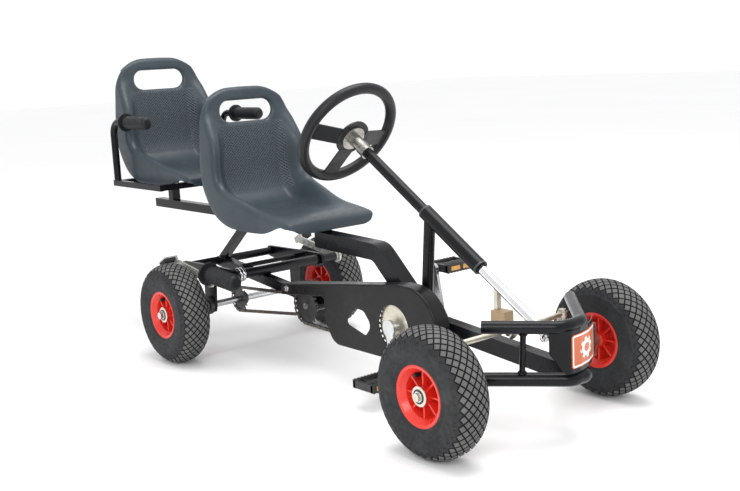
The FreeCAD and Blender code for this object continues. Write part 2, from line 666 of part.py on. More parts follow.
def rear_seat_carrier():
    """Two cross tubes on the posts, a rail beside each edge of the seat and a middle strap."""
    half = CARRIER_SIZE / 2.0
    inner = RAIL_Y - RAIL_SIZE / 2.0
    cross = [box(x - half, x + half, -inner, inner, CARRIER_Z - half, CARRIER_Z + half) for x in CARRIER_X]
    rails = [box(CARRIER_X[0] - 14.0, CARRIER_X[1] + 14.0, side * RAIL_Y - RAIL_SIZE / 2, side * RAIL_Y + RAIL_SIZE / 2,
                 CARRIER_Z - half, CARRIER_Z + half) for side in (-1.0, 1.0)]
    strap = box(CARRIER_X[0], CARRIER_X[1], -22.0, 22.0, CARRIER_Z + half, CARRIER_Z + half + 4.0)
    pads = [box(x - 12.0, x + 12.0, -22.0, 22.0, CARRIER_Z + half + 4.0, CARRIER_Z + half + 18.0) for x in (-290.0, -172.0)]
    solid = cross[0].fuse(cross[1:] + rails + [strap] + pads)
    return solid.removeSplitter()


def arm_tube():
    """One arm: up from the carrier rail, bent forward, and into its grip."""
    foot = CARRIER_Z + CARRIER_SIZE / 2.0
    points = [(ARM_X, ARM_Y, foot), (ARM_X, ARM_Y, ARM_TOP_Z), (GRIP_END - 12.0, ARM_Y, ARM_TOP_Z)]
    return swept_pipe(points, ARM_BEND, ARM_RADIUS)


def hand_grip(start, end, radius, flange, bore, blind):
    """A rubber grip along +X at the origin: guard flange, body, rounded end, blind bore."""
    body = rod((start, 0, 0), (end, 0, 0), radius)
    body = body.makeFillet(radius * 0.6, [edge for edge in body.Edges if edge.BoundBox.XMin > end - 0.1])
    collar = rod((start, 0, 0), (start + 6.0, 0, 0), flange)
    return body.fuse(collar).cut(rod((start - 1.0, 0, 0), (blind, 0, 0), bore))


def arm_grip():
    grip = hand_grip(GRIP_START, GRIP_END, GRIP_RADIUS, GRIP_FLANGE, ARM_RADIUS, GRIP_END - 12.0)
    grip.translate(vec(0, ARM_Y, ARM_TOP_Z))
    return grip


# ---- chain guard --------------------------------------------------------------------------
GUARD_OUTLINE = [(222.0, 176.0, 6.0), (230.0, 206.0, 8.0), (676.0, 262.0, 60.0), (797.0, 262.0, 96.0),
                 (806.0, 84.0, 72.0), (436.0, 84.0, 40.0), (406.0, 132.0, 16.0), (404.0, 196.0, 10.0),
                 (309.0, 185.0, 6.0)]
GUARD_WINDOW = [(485.0, 146.0, 9.0), (525.0, 187.0, 10.0), (556.0, 185.0, 18.0), (583.0, 153.0, 20.0),
                (560.0, 126.0, 14.0)]
GUARD_OPEN = [(200.0, 150.0, 0.0), (200.0, 222.0, 0.0), (233.0, 222.0, 0.0), (240.0, 191.0, 0.0),
              (330.0, 197.0, 0.0), (432.0, 206.0, 0.0), (432.0, 150.0, 0.0), (452.0, 60.0, 0.0), (300.0, 60.0, 0.0)]
GUARD_HOLE_RADIUS = 51.0
GUARD_ROLL = 5.0


def rolled_cap(outline, y0, depth, roll):
    """A solid cap whose edge is rounded where its outer face meets the rim."""
    solid = plate(outline, y0, y0 + depth)
    near = [edge for edge in solid.Edges if edge.BoundBox.YMax < y0 + 0.01]
    return solid.makeFillet(roll, near)


def chain_guard():
    """Pressed cover beside the chains: a plate with a deep rolled rim and two windows."""
    y0, y1 = GUARD_OUTER_Y, GUARD_OUTER_Y + GUARD_DEPTH
    face = loop_face(GUARD_OUTLINE).makeOffset2D(-GUARD_WALL)
    face.translate(vec(0, y0 + GUARD_WALL, 0))
    inner = face.extrude(vec(0, GUARD_DEPTH, 0))
    near = [edge for edge in inner.Edges if edge.BoundBox.YMax < y0 + GUARD_WALL + 0.01]
    inner = inner.makeFillet(GUARD_ROLL - GUARD_WALL, near)
    hole = across(CRANK_X, CRANK_Z, y0 - 5.0, y0 + 20.0, GUARD_HOLE_RADIUS)
    window = plate(GUARD_WINDOW, y0 - 5.0, y0 + 20.0)
    open_edge = plate(GUARD_OPEN, y0 + GUARD_WALL, y1 + 5.0)
    solid = rolled_cap(GUARD_OUTLINE, y0, GUARD_DEPTH, GUARD_ROLL).cut([inner, hole, window, open_edge])
    rear_tab = box(238.0, 252.0, y0 + 1.0, SPINE_Y - SEAT_BEAM_SIZE / 2, 186.0, 190.0)
    front_tab = box(632.0, 648.0, y1 - 5.0, -SEAT_TUBE_SIZE / 2, 240.0, 255.5)
    return solid.fuse([rear_tab, front_tab])


# ---- drive --------------------------------------------------------------------------------
ARM_PLANE = 79.0
ARM_THICK = 8.0
SPINDLE_RADIUS = 6.0
PEDAL_LENGTH, PEDAL_DEPTH, PEDAL_THICK = 88.0, 72.0, 22.0


def crank_end(side):
    """The pedal spindle's place: the left arm (side +1) points up, the right one down."""
    angle = math.radians(CRANK_TILT)
    return CRANK_X - side * CRANK_LENGTH * math.sin(angle), CRANK_Z + side * CRANK_LENGTH * math.cos(angle)


def crank_axle():
    end = ARM_PLANE + ARM_THICK / 2.0
    return across(CRANK_X, CRANK_Z, -end, end, AXLE_RADIUS)


def crank_arm(side):
    x, z = crank_end(side)
    y0, y1 = sorted((side * (ARM_PLANE - ARM_THICK / 2), side * (ARM_PLANE + ARM_THICK / 2)))
    bar = box_tube((CRANK_X, CRANK_Z), (x, z), ARM_THICK, 24.0, wall=0.0, y=side * ARM_PLANE)
    solid = bar.fuse([across(CRANK_X, CRANK_Z, y0, y1, 19.0), across(x, z, y0, y1, 13.0)])
    solid = solid.cut(across(CRANK_X, CRANK_Z, y0, y1, AXLE_RADIUS))
    tip = side * (PEDAL_Y + PEDAL_LENGTH / 2.0 - 3.0)
    spindle = across(x, z, min(side * ARM_PLANE, tip), max(side * ARM_PLANE, tip), SPINDLE_RADIUS)
    return solid.fuse(spindle).removeSplitter()


def crank_arms():
    return Part.makeCompound([crank_arm(-1.0), crank_arm(1.0)])


def pedal(side):
    """Block pedal with two slots, running on the spindle of its crank arm."""
    x, z = crank_end(side)
    half = PEDAL_DEPTH / 2.0
    length = PEDAL_LENGTH / 2.0
    solid = box(-half, half, -length, length, -PEDAL_THICK / 2, PEDAL_THICK / 2)
    solid = solid.makeFillet(4.0, [edge for edge in solid.Edges if abs(edge.Length - PEDAL_THICK) < 0.01])
    slots = [box(low, low + 14.0, -length + 10.0, length - 10.0, -20, 20) for low in (-28.0, 14.0)]
    bore = across(0, 0, -length - 1.0, length - 2.5, SPINDLE_RADIUS + RUNNING)
    solid = solid.cut(slots + [bore])
    if side < 0:
        solid = mirrored(solid)
    solid.translate(vec(x, side * PEDAL_Y, z))
    return solid


def chainring():
    y = FRONT_CHAIN_Y
    ring = sprocket(CRANK_X, CRANK_Z, y, CHAINRING_TEETH, AXLE_RADIUS, 15.0, 20.0)
    return ring


def jackshaft():
    shaft = across(JACK_X, JACK_Z, -64.5, 4.0, JACKSHAFT_RADIUS)
    collar = across(JACK_X, JACK_Z, HOUSING_Y1 + GAP, 4.0, 13.0)
    return shaft.fuse(collar)


def jack_sprockets():
    driven = sprocket(JACK_X, JACK_Z, FRONT_CHAIN_Y, JACK_DRIVEN_TEETH, JACKSHAFT_RADIUS, 12.0, 7.0)
    driver = sprocket(JACK_X, JACK_Z, REAR_CHAIN_Y, JACK_DRIVER_TEETH, JACKSHAFT_RADIUS)
    return driven.fuse(driver)


def axle_sprocket():
    return sprocket(0.0, TYRE_RADIUS, REAR_CHAIN_Y, AXLE_TEETH, AXLE_RADIUS, 17.0, 16.0)


def front_chain():
    return chain_loop((CRANK_X, CRANK_Z), pitch_radius(CHAINRING_TEETH), (JACK_X, JACK_Z),
                      pitch_radius(JACK_DRIVEN_TEETH), FRONT_CHAIN_Y)


def rear_chain():
    return chain_loop((0.0, TYRE_RADIUS), pitch_radius(AXLE_TEETH), (JACK_X, JACK_Z),
                      pitch_radius(JACK_DRIVER_TEETH), REAR_CHAIN_Y)


def axle_shaft():
    end = TRACK_REAR / 2.0 + 44.0
    return across(0, TYRE_RADIUS, -end, end, AXLE_RADIUS)


def axle_fastening():
    """Spacer inside the wheel, then washer and nut outside it."""
    inner, outer = TRACK_REAR / 2.0 - 30.0, TRACK_REAR / 2.0 + 30.0
    spacer = across(0, TYRE_RADIUS, HANGER_Y + 13.0, inner, 13.0, AXLE_RADIUS)
    washer = across(0, TYRE_RADIUS, outer, outer + 2.0, 20.0, AXLE_RADIUS)
    nut = hex_nut(0, TYRE_RADIUS, outer + 2.0, outer + 11.0, 13.0, AXLE_RADIUS)
    return [spacer, washer.fuse(nut)]


def axle_nuts():
    parts = axle_fastening()
    return Part.makeCompound([mirrored(part) for part in parts] + parts)


# ---- steering -----------------------------------------------------------------------------
COLUMN_TUBE_RADIUS = 12.5
PLATE_AT, PLATE_THICK = -42.0, 4.0
PLATE_RADIUS = 44.0
SPOKE_DISH = 15.0
HUB_DISC_RADIUS, HUB_BOSS_RADIUS, COLLAR_RADIUS = 30.0, 15.0, 16.5
SPOKE_ANGLES = (-10.0, 170.0, 260.0)
SPOKE_WIDTH = 40.0
PITMAN_THICK = 5.0
PITMAN_BOLT_RADIUS = 4.0
LUG_X, LUG_LOW, LUG_HIGH = 918.0, 206.0, 290.0
BLOCK_X0, BLOCK_X1, BLOCK_LOW, BLOCK_HIGH = 910.0, 950.0, 199.0, 231.0
TIE_EYE_BORE, TIE_EYE_RADIUS, TIE_EYE_THICK = 8.5, 13.0, 4.0
TIE_ROD_RADIUS = 6.0
TIE_LAP = 32.0
ARM_LOW, ARM_HIGH = 169.0, 175.0
STUD_RADIUS = 5.0


def column_tube():
    return to_column(round_column(0.0, SLEEVE_END + 10.0, COLUMN_TUBE_RADIUS, SHAFT_RADIUS))


def steering_shaft():
    shaft = round_column(SLEEVE_END - 60.0, SHAFT_END, SHAFT_RADIUS)
    return to_column(shaft)


def steering_hub():
    """Chrome disc on the driver's face, the boss behind the spokes, and the clamp collar."""
    disc = round_column(PLATE_AT - 4.0, PLATE_AT, HUB_DISC_RADIUS)
    core = round_column(PLATE_AT, PLATE_AT + PLATE_THICK, 5.0)
    boss = round_column(PLATE_AT + PLATE_THICK, 0.0, HUB_BOSS_RADIUS)
    collar = round_column(0.0, 24.0, COLLAR_RADIUS, COLUMN_TUBE_RADIUS)
    flange = round_column(PLATE_AT + PLATE_THICK, PLATE_AT + PLATE_THICK + 4.0, HUB_DISC_RADIUS)
    return to_column(disc.fuse([core, boss, collar, flange]).removeSplitter())


def steering_wheel():
    """Grip ring and a flat plate with three spokes."""
    middle = STEERING_WHEEL_RADIUS - STEERING_WHEEL_GRIP
    ring = Part.makeTorus(middle, STEERING_WHEEL_GRIP, vec(0, 0, -STEERING_WHEEL_CENTRE), vec(0, 0, 1))
    low, high = -PLATE_AT - PLATE_THICK, -PLATE_AT
    centre = rod((0, 0, low), (0, 0, high), PLATE_RADIUS)
    rise = math.degrees(math.atan2(SPOKE_DISH, middle - PLATE_RADIUS))
    spokes = []
    for angle in SPOKE_ANGLES:
        spoke = box(-6.0, math.hypot(middle - PLATE_RADIUS, SPOKE_DISH), -SPOKE_WIDTH / 2, SPOKE_WIDTH / 2, low, high)
        spoke.rotate(vec(0, 0, low), vec(0, -1, 0), rise)
        spoke.translate(vec(PLATE_RADIUS - 4.0, 0, 0))
        spoke.rotate(vec(0, 0, 0), vec(0, 0, 1), 90.0 - angle)
        spokes.append(spoke)
    solid = ring.fuse(spokes + [centre]).cut(rod((0, 0, low), (0, 0, high), 5.0))
    return to_column(solid)


def pitman_arm():
    """Lug under the shaft and the boss with the bolt that holds both tie rods."""
    top, bottom = -PITMAN_AT, -PITMAN_AT - PITMAN_THICK
    boss = rod((-PITMAN_LENGTH, 0, bottom), (-PITMAN_LENGTH, 0, top), 13.0)
    bolt_end = bottom - 2 * TIE_EYE_THICK - 2 * GAP - 7.0
    bolt = rod((-PITMAN_LENGTH, 0, bolt_end), (-PITMAN_LENGTH, 0, top), PITMAN_BOLT_RADIUS)
    head = rod((-PITMAN_LENGTH, 0, bolt_end - 4.0), (-PITMAN_LENGTH, 0, bolt_end), 11.0)
    foot = to_column(boss.fuse([bolt, head]))
    lug = box(LUG_X - 5.0, LUG_X + 5.0, -6.0, 6.0, LUG_LOW, LUG_HIGH)
    return foot.fuse(lug).cut(to_column(round_column(400.0, SHAFT_END, SHAFT_RADIUS))).removeSplitter()


def pitman_block():
    """Moulded block round the lower half of the lug, standing on the boss."""
    block = box(BLOCK_X0, BLOCK_X1, -15.0, 15.0, BLOCK_LOW, BLOCK_HIGH)
    block = block.makeFillet(3.0, [edge for edge in block.Edges if abs(edge.Length - (BLOCK_HIGH - BLOCK_LOW)) < 0.01])
    return block.cut(pitman_arm())


def tie_rod(side):
    """Rod with an upright eye on the knuckle's stud and a flat eye round the drop arm's bolt."""
    layer = 0 if side < 0 else 1
    top = -PITMAN_AT - PITMAN_THICK - GAP - layer * (TIE_EYE_THICK + GAP)
    low = top - TIE_EYE_THICK
    lap = side * TIE_LAP
    eye = rod((-PITMAN_LENGTH, 0, low), (-PITMAN_LENGTH, 0, top), TIE_EYE_RADIUS)
    strap = box(-PITMAN_LENGTH - 7.0, -PITMAN_LENGTH + 7.0, min(0.0, lap), max(0.0, lap), low, top)
    flat = eye.fuse(strap).cut(rod((-PITMAN_LENGTH, 0, low), (-PITMAN_LENGTH, 0, top), TIE_EYE_BORE))
    flat = to_column(flat)
    inner = on_column(-(top + low) / 2.0, lap, PITMAN_LENGTH)
    outer = vec(WHEELBASE - KNUCKLE_ARM, side * KINGPIN_Y, TIE_ROD_Z)
    inner_end = inner + (inner - outer).normalize() * 4.0
    shank = rod(outer, inner_end, TIE_ROD_RADIUS)
    outer_eye = rod(outer - vec(0, 0, 6), outer + vec(0, 0, 6), 11.0)
    solid = outer_eye.fuse([shank, flat])
    return solid.cut(rod(outer - vec(0, 0, 8), outer + vec(0, 0, 8), STUD_RADIUS + RUNNING)).removeSplitter()


def knuckle_left():
    """Fork round the kingpin housing, with the stub axle, the steering arm and its stud."""
    x, y = WHEELBASE, KINGPIN_Y
    web_y0, web_y1 = y + 17.0, y + 23.0
    low, high = HOUSING_LOW - GAP - 6.0, HOUSING_HIGH + GAP + 6.0
    fork = []
    for z0 in (low, high - 6.0):
        fork.append(box(x - 14.0, x + 14.0, y, web_y1, z0, z0 + 6.0))
        fork.append(Part.makeCylinder(14.0, 6.0, vec(x, y, z0)))
    web = box(x - 14.0, x + 14.0, web_y0, web_y1, low, high)
    arm = box(x - KNUCKLE_ARM, x, y - 10.0, y + 10.0, ARM_LOW, ARM_HIGH)
    arm_end = Part.makeCylinder(12.0, ARM_HIGH - ARM_LOW, vec(x - KNUCKLE_ARM, y, ARM_LOW))
    stud = Part.makeCylinder(STUD_RADIUS, 28.0, vec(x - KNUCKLE_ARM, y, ARM_LOW))
    seat_ring = Part.makeCylinder(8.0, TIE_ROD_Z - 6.5 - ARM_HIGH, vec(x - KNUCKLE_ARM, y, ARM_HIGH))
    nut = Part.makeCylinder(8.0, 5.0, vec(x - KNUCKLE_ARM, y, TIE_ROD_Z + 6.5))
    stub = across(x, TYRE_RADIUS, web_y0, TRACK_FRONT / 2.0 + 42.0, STUB_RADIUS)
    shoulder = across(x, TYRE_RADIUS, web_y0, TRACK_FRONT / 2.0 - 30.5, 13.0)
    solid = web.fuse(fork + [arm, arm_end, stud, seat_ring, nut, stub, shoulder])
    return solid.cut(Part.makeCylinder(KINGPIN_RADIUS, 120.0, vec(x, y, 80.0))).removeSplitter()


def fasteners_left():
    """Kingpin bolt with head and nut, and the wheel's washer and nut."""
    x, y = WHEELBASE, KINGPIN_Y
    low, high = HOUSING_LOW - GAP - 6.0, HOUSING_HIGH + GAP + 6.0
    pin = Part.makeCylinder(KINGPIN_RADIUS, high - low + 16.0, vec(x, y, low - 8.0))
    head = Part.makeCylinder(10.0, 8.0, vec(x, y, high))
    nut = Part.makeCylinder(10.0, 8.0, vec(x, y, low - 8.0))
    outer = TRACK_FRONT / 2.0 + 30.5
    washer = across(x, TYRE_RADIUS, outer, outer + 2.0, 20.0, STUB_RADIUS)
    wheel_nut = hex_nut(x, TYRE_RADIUS, outer + 2.0, outer + 9.0, 13.0, STUB_RADIUS)
    return Part.makeCompound([pin.fuse([head, nut]).removeSplitter(), washer.fuse(wheel_nut)])


# ---- brake --------------------------------------------------------------------------------
LEVER_Y0, LEVER_Y1 = 201.0, 207.0
LEVER_EYE = 18.0
LEVER_HEIGHT = 20.0
PAD_ANGLE = 118.0
PAD_GAP = 5.0
PAD_THICK, PAD_LENGTH = 9.0, 34.0
PAD_Y0, PAD_Y1 = 212.0, 240.0
SHOE_THICK = 4.0
HANDLE_ANGLE = -4.0
HANDLE_Y, HANDLE_Z = 211.0, 241.0


def pad_frame(shape):
    """Moves a shape modelled above the origin to its place over the rear tyre's tread."""
    shape.translate(vec(0, 0, TYRE_RADIUS))
    shape.rotate(vec(0, 0, 0), vec(0, -1, 0), PAD_ANGLE - 90.0)
    shape.translate(vec(0, 0, TYRE_RADIUS))
    return shape


def brake_pad():
    half = PAD_LENGTH / 2.0
    pad = box(-half, half, PAD_Y0, PAD_Y1, PAD_GAP, PAD_GAP + PAD_THICK)
    return pad_frame(pad)


def brake_lever():
    """Flat lever from the cross shaft back to a short shoe plate over the tyre's shoulder."""
    half = PAD_LENGTH / 2.0
    base = PAD_GAP + PAD_THICK
    shoe = pad_frame(box(-half, half, LEVER_Y0, PAD_Y1, base, base + SHOE_THICK))
    angle = math.radians(PAD_ANGLE)
    reach = TYRE_RADIUS + 7.0
    back = (reach * math.cos(angle), TYRE_RADIUS + reach * math.sin(angle))
    bar = box_tube((BRAKE_X, BRAKE_Z), back, LEVER_Y1 - LEVER_Y0, LEVER_HEIGHT, wall=0.0, y=(LEVER_Y0 + LEVER_Y1) / 2.0)
    eye = across(BRAKE_X, BRAKE_Z, LEVER_Y0, LEVER_Y1, LEVER_EYE)
    web = pad_frame(box(-half, half, LEVER_Y0, LEVER_Y1, 0.0, base))
    return bar.fuse([eye, shoe, web])


def handle_rod():
    """Stem of the hand lever, forward from the right end of the cross shaft."""
    stem = rod((-12.0, 0, 0), (110.0, 0, 0), 9.0)
    stem.rotate(vec(0, 0, 0), vec(0, 1, 0), -HANDLE_ANGLE)
    stem.translate(vec(BRAKE_X, -HANDLE_Y, HANDLE_Z))
    lug = box(BRAKE_X - 14.0, BRAKE_X + 2.0, -HANDLE_Y - 6.0, -HANDLE_Y + 6.0, BRAKE_Z - 4.0, HANDLE_Z + 8.0)
    return stem.fuse(lug)


def brake_yoke():
    shaft = across(BRAKE_X, BRAKE_Z, -LEVER_Y1, LEVER_Y1, BRAKE_RADIUS)
    lever = brake_lever()
    return shaft.fuse([lever, mirrored(lever), handle_rod()]).removeSplitter()


def brake_grip():
    """Rubber grip whose guard flange is notched round the lever and the shaft's end."""
    grip = hand_grip(4.0, 134.0, 20.5, 30.0, 9.0, 110.0)
    grip.rotate(vec(0, 0, 0), vec(0, 1, 0), -HANDLE_ANGLE)
    grip.translate(vec(BRAKE_X, -HANDLE_Y, HANDLE_Z))
    notch = across(BRAKE_X, BRAKE_Z, -LEVER_Y1, -150.0, LEVER_EYE)
    return grip.cut([notch, box(BRAKE_X - 14.0, BRAKE_X + 2.0, -HANDLE_Y - 6.0, -HANDLE_Y + 6.0, BRAKE_Z, HANDLE_Z + 8.0)])


# ---- export -------------------------------------------------------------------------------
def export(name, shape):
    """Writes one node, moved so that the kart's middle stands over the origin."""
    shape = shape.copy()
    shape.translate(vec(-MIDDLE_X, 0, 0))
    shape.exportStep(os.path.join("parts", name + ".step"))


def wheels():
    """Tyre and rim of each wheel; the front rims run on their stub axles."""
    nodes = {}
    for end, x, track, bore in (("front", WHEELBASE, TRACK_FRONT, STUB_RADIUS + RUNNING),
                                ("rear", 0.0, TRACK_REAR, AXLE_RADIUS)):
        for side_name, side in (("right", -1.0), ("left", 1.0)):
            nodes["tyre_%s_%s" % (end, side_name)] = tyre(x, side * track / 2.0)
            nodes["rim_%s_%s" % (end, side_name)] = rim(x, side * track / 2.0, side, bore)
    return nodes


def frame_nodes():
    return {
        "main_beam": main_beam(), "seat_tube": seat_tube(), "seat_beam": seat_beam(),
        "seat_supports": seat_supports(), "rear_spine": rear_spine(), "rear_cross_tubes": rear_cross_tubes(),
        "axle_hangers": both_sides(axle_hanger()), "axle_bearings": both_sides(axle_bearing()),
        "bottom_bracket": bottom_bracket(), "jackshaft_housing": jackshaft_housing(),
        "column_post": column_post(), "column_sleeve": column_sleeve(), "column_bushes": column_bushes(),
        "bumper_lower": bumper_lower(), "bumper_upper": bumper_upper(), "bumper_struts": bumper_struts(),
        "kingpin_housings": kingpin_housings(), "nose_panel": nose_panel(), "nose_plate": nose_plate(),
        "chain_guard": chain_guard(), "front_chain": front_chain(), "rear_chain": rear_chain(),
        "front_seat": seat(), "rear_seat": rear_seat(), "rear_seat_carrier": rear_seat_carrier(),
        "arm_tubes": both_sides(arm_tube()), "arm_grips": both_sides(arm_grip()),
    }


def moving_nodes():
    return {
        "steering_wheel": steering_wheel(), "steering_hub": steering_hub(), "column_tube": column_tube(),
        "steering_shaft": steering_shaft(), "pitman_arm": pitman_arm(), "pitman_block": pitman_block(),
        "tie_rod_right": tie_rod(-1.0), "tie_rod_left": tie_rod(1.0),
        "knuckle_right": mirrored(knuckle_left()), "knuckle_left": knuckle_left(),
        "fasteners_right": mirrored(fasteners_left()), "fasteners_left": fasteners_left(),
        "axle_shaft": axle_shaft(), "axle_sprocket": axle_sprocket(), "axle_nuts": axle_nuts(),
        "crank_axle": crank_axle(), "crank_arms": crank_arms(), "chainring": chainring(),
        "pedal_right": pedal(-1.0), "pedal_left": pedal(1.0),
        "jackshaft": jackshaft(), "jack_sprockets": jack_sprockets(),
        "brake_yoke": brake_yoke(), "brake_grip": brake_grip(), "brake_pads": both_sides(brake_pad()),
    }


os.makedirs("parts", exist_ok=True)
for nodes in (wheels(), frame_nodes(), moving_nodes()):
    for node, solid in nodes.items():
        export(node, solid)
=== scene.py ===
import math
import random

import bmesh
import bpy
import numpy as np
from mathutils import Matrix, Vector


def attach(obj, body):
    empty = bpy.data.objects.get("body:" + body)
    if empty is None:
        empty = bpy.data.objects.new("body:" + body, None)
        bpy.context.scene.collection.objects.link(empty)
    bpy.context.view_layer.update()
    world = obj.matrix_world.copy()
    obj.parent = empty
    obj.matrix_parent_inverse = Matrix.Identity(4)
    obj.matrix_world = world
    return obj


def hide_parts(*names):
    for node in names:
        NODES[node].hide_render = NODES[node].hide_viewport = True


# Looks of a tandem pedal go kart. Shapes below are given in the kart's own millimetres, with X measured
# forward from the rear axle, Y to the left and Z up from the floor. place() turns them into metres.

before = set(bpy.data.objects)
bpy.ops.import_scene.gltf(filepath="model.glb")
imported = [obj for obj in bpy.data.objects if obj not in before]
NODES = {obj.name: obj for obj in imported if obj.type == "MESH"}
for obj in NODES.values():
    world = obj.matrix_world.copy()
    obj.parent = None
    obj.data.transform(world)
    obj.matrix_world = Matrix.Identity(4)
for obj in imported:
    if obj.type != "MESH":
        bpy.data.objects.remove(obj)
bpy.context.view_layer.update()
random.seed(11)

MM = 0.001
MIDDLE_X = 326.0
WHEELBASE = 990.0
TRACK_FRONT, TRACK_REAR = 520.0, 505.0
TYRE_RADIUS = 130.0
COLUMN_ANGLE = math.radians(32.8)
COLUMN_TOP = (498.0, 555.0)
CHAIN_PITCH = 12.7
CRANK = (660.0, 163.0)
CRANK_LENGTH, CRANK_TILT = 109.0, math.radians(10.0)
JACK = (322.0, 160.0)
BRAKE_X, BRAKE_Z = 112.0, 222.0


def place(x, y, z):
    return Vector(((x - MIDDLE_X) * MM, y * MM, z * MM))


def on_column(distance, side=0.0, drop=0.0):
    """A point at a distance down the steering column; drop is square to it, down and back."""
    x = COLUMN_TOP[0] + distance * math.cos(COLUMN_ANGLE) - drop * math.sin(COLUMN_ANGLE)
    z = COLUMN_TOP[1] - distance * math.sin(COLUMN_ANGLE) - drop * math.cos(COLUMN_ANGLE)
    return x, side, z


def smooth_step(value, low, high):
    t = min(max((value - low) / (high - low), 0.0), 1.0)
    return t * t * (3.0 - 2.0 * t)


# ---- materials ----------------------------------------------------------------------------
class Shader:
    """A Principled material on object coordinates, with its nodes added by short calls."""

    def __init__(self, name, roughness=0.4, metallic=0.0, coat=0.0, specular=0.5):
        self.material = bpy.data.materials.new(name)
        self.material.use_nodes = True
        self.nodes = self.material.node_tree.nodes
        self.links = self.material.node_tree.links
        self.surface = self.nodes["Principled BSDF"]
        self.surface.inputs["Roughness"].default_value = roughness
        self.surface.inputs["Metallic"].default_value = metallic
        self.surface.inputs["Coat Weight"].default_value = coat
        self.surface.inputs["Coat Roughness"].default_value = 0.06
        self.surface.inputs["Specular IOR Level"].default_value = specular
        self.where = self.nodes.new("ShaderNodeTexCoord").outputs["Object"]

    def feed(self, socket, value):
        if hasattr(value, "links"):
            self.links.new(value, socket)
        else:
            socket.default_value = value

    def noise(self, scale, detail=3.0, roughness=0.5, where=None):
        node = self.nodes.new("ShaderNodeTexNoise")
        self.links.new(where or self.where, node.inputs["Vector"])
        node.inputs["Scale"].default_value = scale
        node.inputs["Detail"].default_value = detail
        node.inputs["Roughness"].default_value = roughness
        return node.outputs["Fac"]

    def axis(self, letter):
        node = self.nodes.new("ShaderNodeSeparateXYZ")
        self.links.new(self.where, node.inputs["Vector"])
        return node.outputs[letter]

    def math(self, operation, a, b=0.0):
        node = self.nodes.new("ShaderNodeMath")
        node.operation = operation
        self.feed(node.inputs[0], a)
        self.feed(node.inputs[1], b)
        return node.outputs["Value"]

    def stretch(self, value, low, high, to_low=0.0, to_high=1.0):
        node = self.nodes.new("ShaderNodeMapRange")
        self.feed(node.inputs["Value"], value)
        node.inputs["From Min"].default_value = low
        node.inputs["From Max"].default_value = high
        node.inputs["To Min"].default_value = to_low
        node.inputs["To Max"].default_value = to_high
        return node.outputs["Result"]

    def mix(self, factor, first, second):
        node = self.nodes.new("ShaderNodeMix")
        node.data_type = "RGBA"
        self.feed(node.inputs["Factor"], factor)
        colours = [socket for socket in node.inputs if socket.type == "RGBA"]
        self.feed(colours[0], first if hasattr(first, "links") else (*first, 1.0))
        self.feed(colours[1], second if hasattr(second, "links") else (*second, 1.0))
        return [socket for socket in node.outputs if socket.type == "RGBA"][0]

    def colour(self, value):
        self.feed(self.surface.inputs["Base Color"], value)

    def roughness(self, value):
        self.feed(self.surface.inputs["Roughness"], value)

    def bump(self, height, distance, strength=1.0):
        node = self.nodes.new("ShaderNodeBump")
        node.inputs["Distance"].default_value = distance
        node.inputs["Strength"].default_value = strength
        self.feed(node.inputs["Height"], height)
        previous = self.surface.inputs["Normal"]
        if previous.is_linked:
            self.links.new(previous.links[0].from_socket, node.inputs["Normal"])
        self.links.new(node.outputs["Normal"], previous)


def painted(name, low, high, roughness, coat=0.0, grain=900.0, relief=0.00004, specular=0.5):
    """Paint or plastic: two close shades in soft patches, uneven gloss and a fine surface grain."""
    shader = Shader(name, roughness, 0.0, coat, specular)
    patches = shader.noise(9.0, 4.0, 0.6)
    shader.colour(shader.mix(shader.stretch(patches, 0.35, 0.65), low, high))
    shader.roughness(shader.stretch(shader.noise(60.0, 3.0), 0.3, 0.7, roughness * 0.8, roughness * 1.25))
    shader.bump(shader.noise(grain, 2.0), relief)
    return shader


def metal(name, low, high, roughness, scratches=400.0, relief=0.00002):
    """Bare or plated metal: cloudy tone, small scratches and a slightly uneven polish."""
    shader = Shader(name, roughness, 1.0)
    clouds = shader.noise(35.0, 5.0, 0.65)
    shader.colour(shader.mix(shader.stretch(clouds, 0.3, 0.7), low, high))
    marks = shader.noise(scratches, 4.0, 0.7)
    shader.roughness(shader.stretch(marks, 0.3, 0.7, roughness * 0.7, roughness * 1.5))
    shader.bump(marks, relief)
    return shader


SEAT_SHADES = ((0.023, 0.035, 0.044), (0.032, 0.046, 0.056))
# Lighter slate painted on the hatch's raised ridges: a painted highlight standing in for light on the relief.
SEAT_HATCH_HIGHLIGHT = (0.075, 0.092, 0.108)


def hatched_seat_plastic(name, low, high, half_width, pitch):
    """Slate seat plastic whose back panel, between two heights, carries a fine diamond relief, with a painted
    highlight on its raised ridges.
    """
    shader = painted(name, *SEAT_SHADES, 0.38, 0.0, 700.0, 0.00006, 0.4)
    plain = shader.surface.inputs["Base Color"].links[0].from_socket
    y, z = shader.axis("Y"), shader.axis("Z")
    turn = 2.0 * math.pi / pitch
    rising = shader.math("SINE", shader.math("MULTIPLY", shader.math("ADD", y, z), turn))
    falling = shader.math("SINE", shader.math("MULTIPLY", shader.math("SUBTRACT", y, z), turn))
    weave = shader.stretch(shader.math("MAXIMUM", rising, falling), -0.2, 0.9)
    fade = 0.008
    above, below = shader.stretch(z, low - 1.5 * fade, low), shader.stretch(z, high + fade, high)
    inside = shader.math("MULTIPLY", above, below)
    between = shader.stretch(shader.math("ABSOLUTE", y), half_width + fade, half_width)
    inside = shader.math("MULTIPLY", inside, between)
    relief = shader.math("MULTIPLY", weave, inside)
    # The relief height also lightens the colour, so the raised ridges carry a painted highlight.
    shader.colour(shader.mix(shader.math("MULTIPLY", relief, 0.75), plain, SEAT_HATCH_HIGHLIGHT))
    shader.bump(relief, 0.0016)
    return shader.material


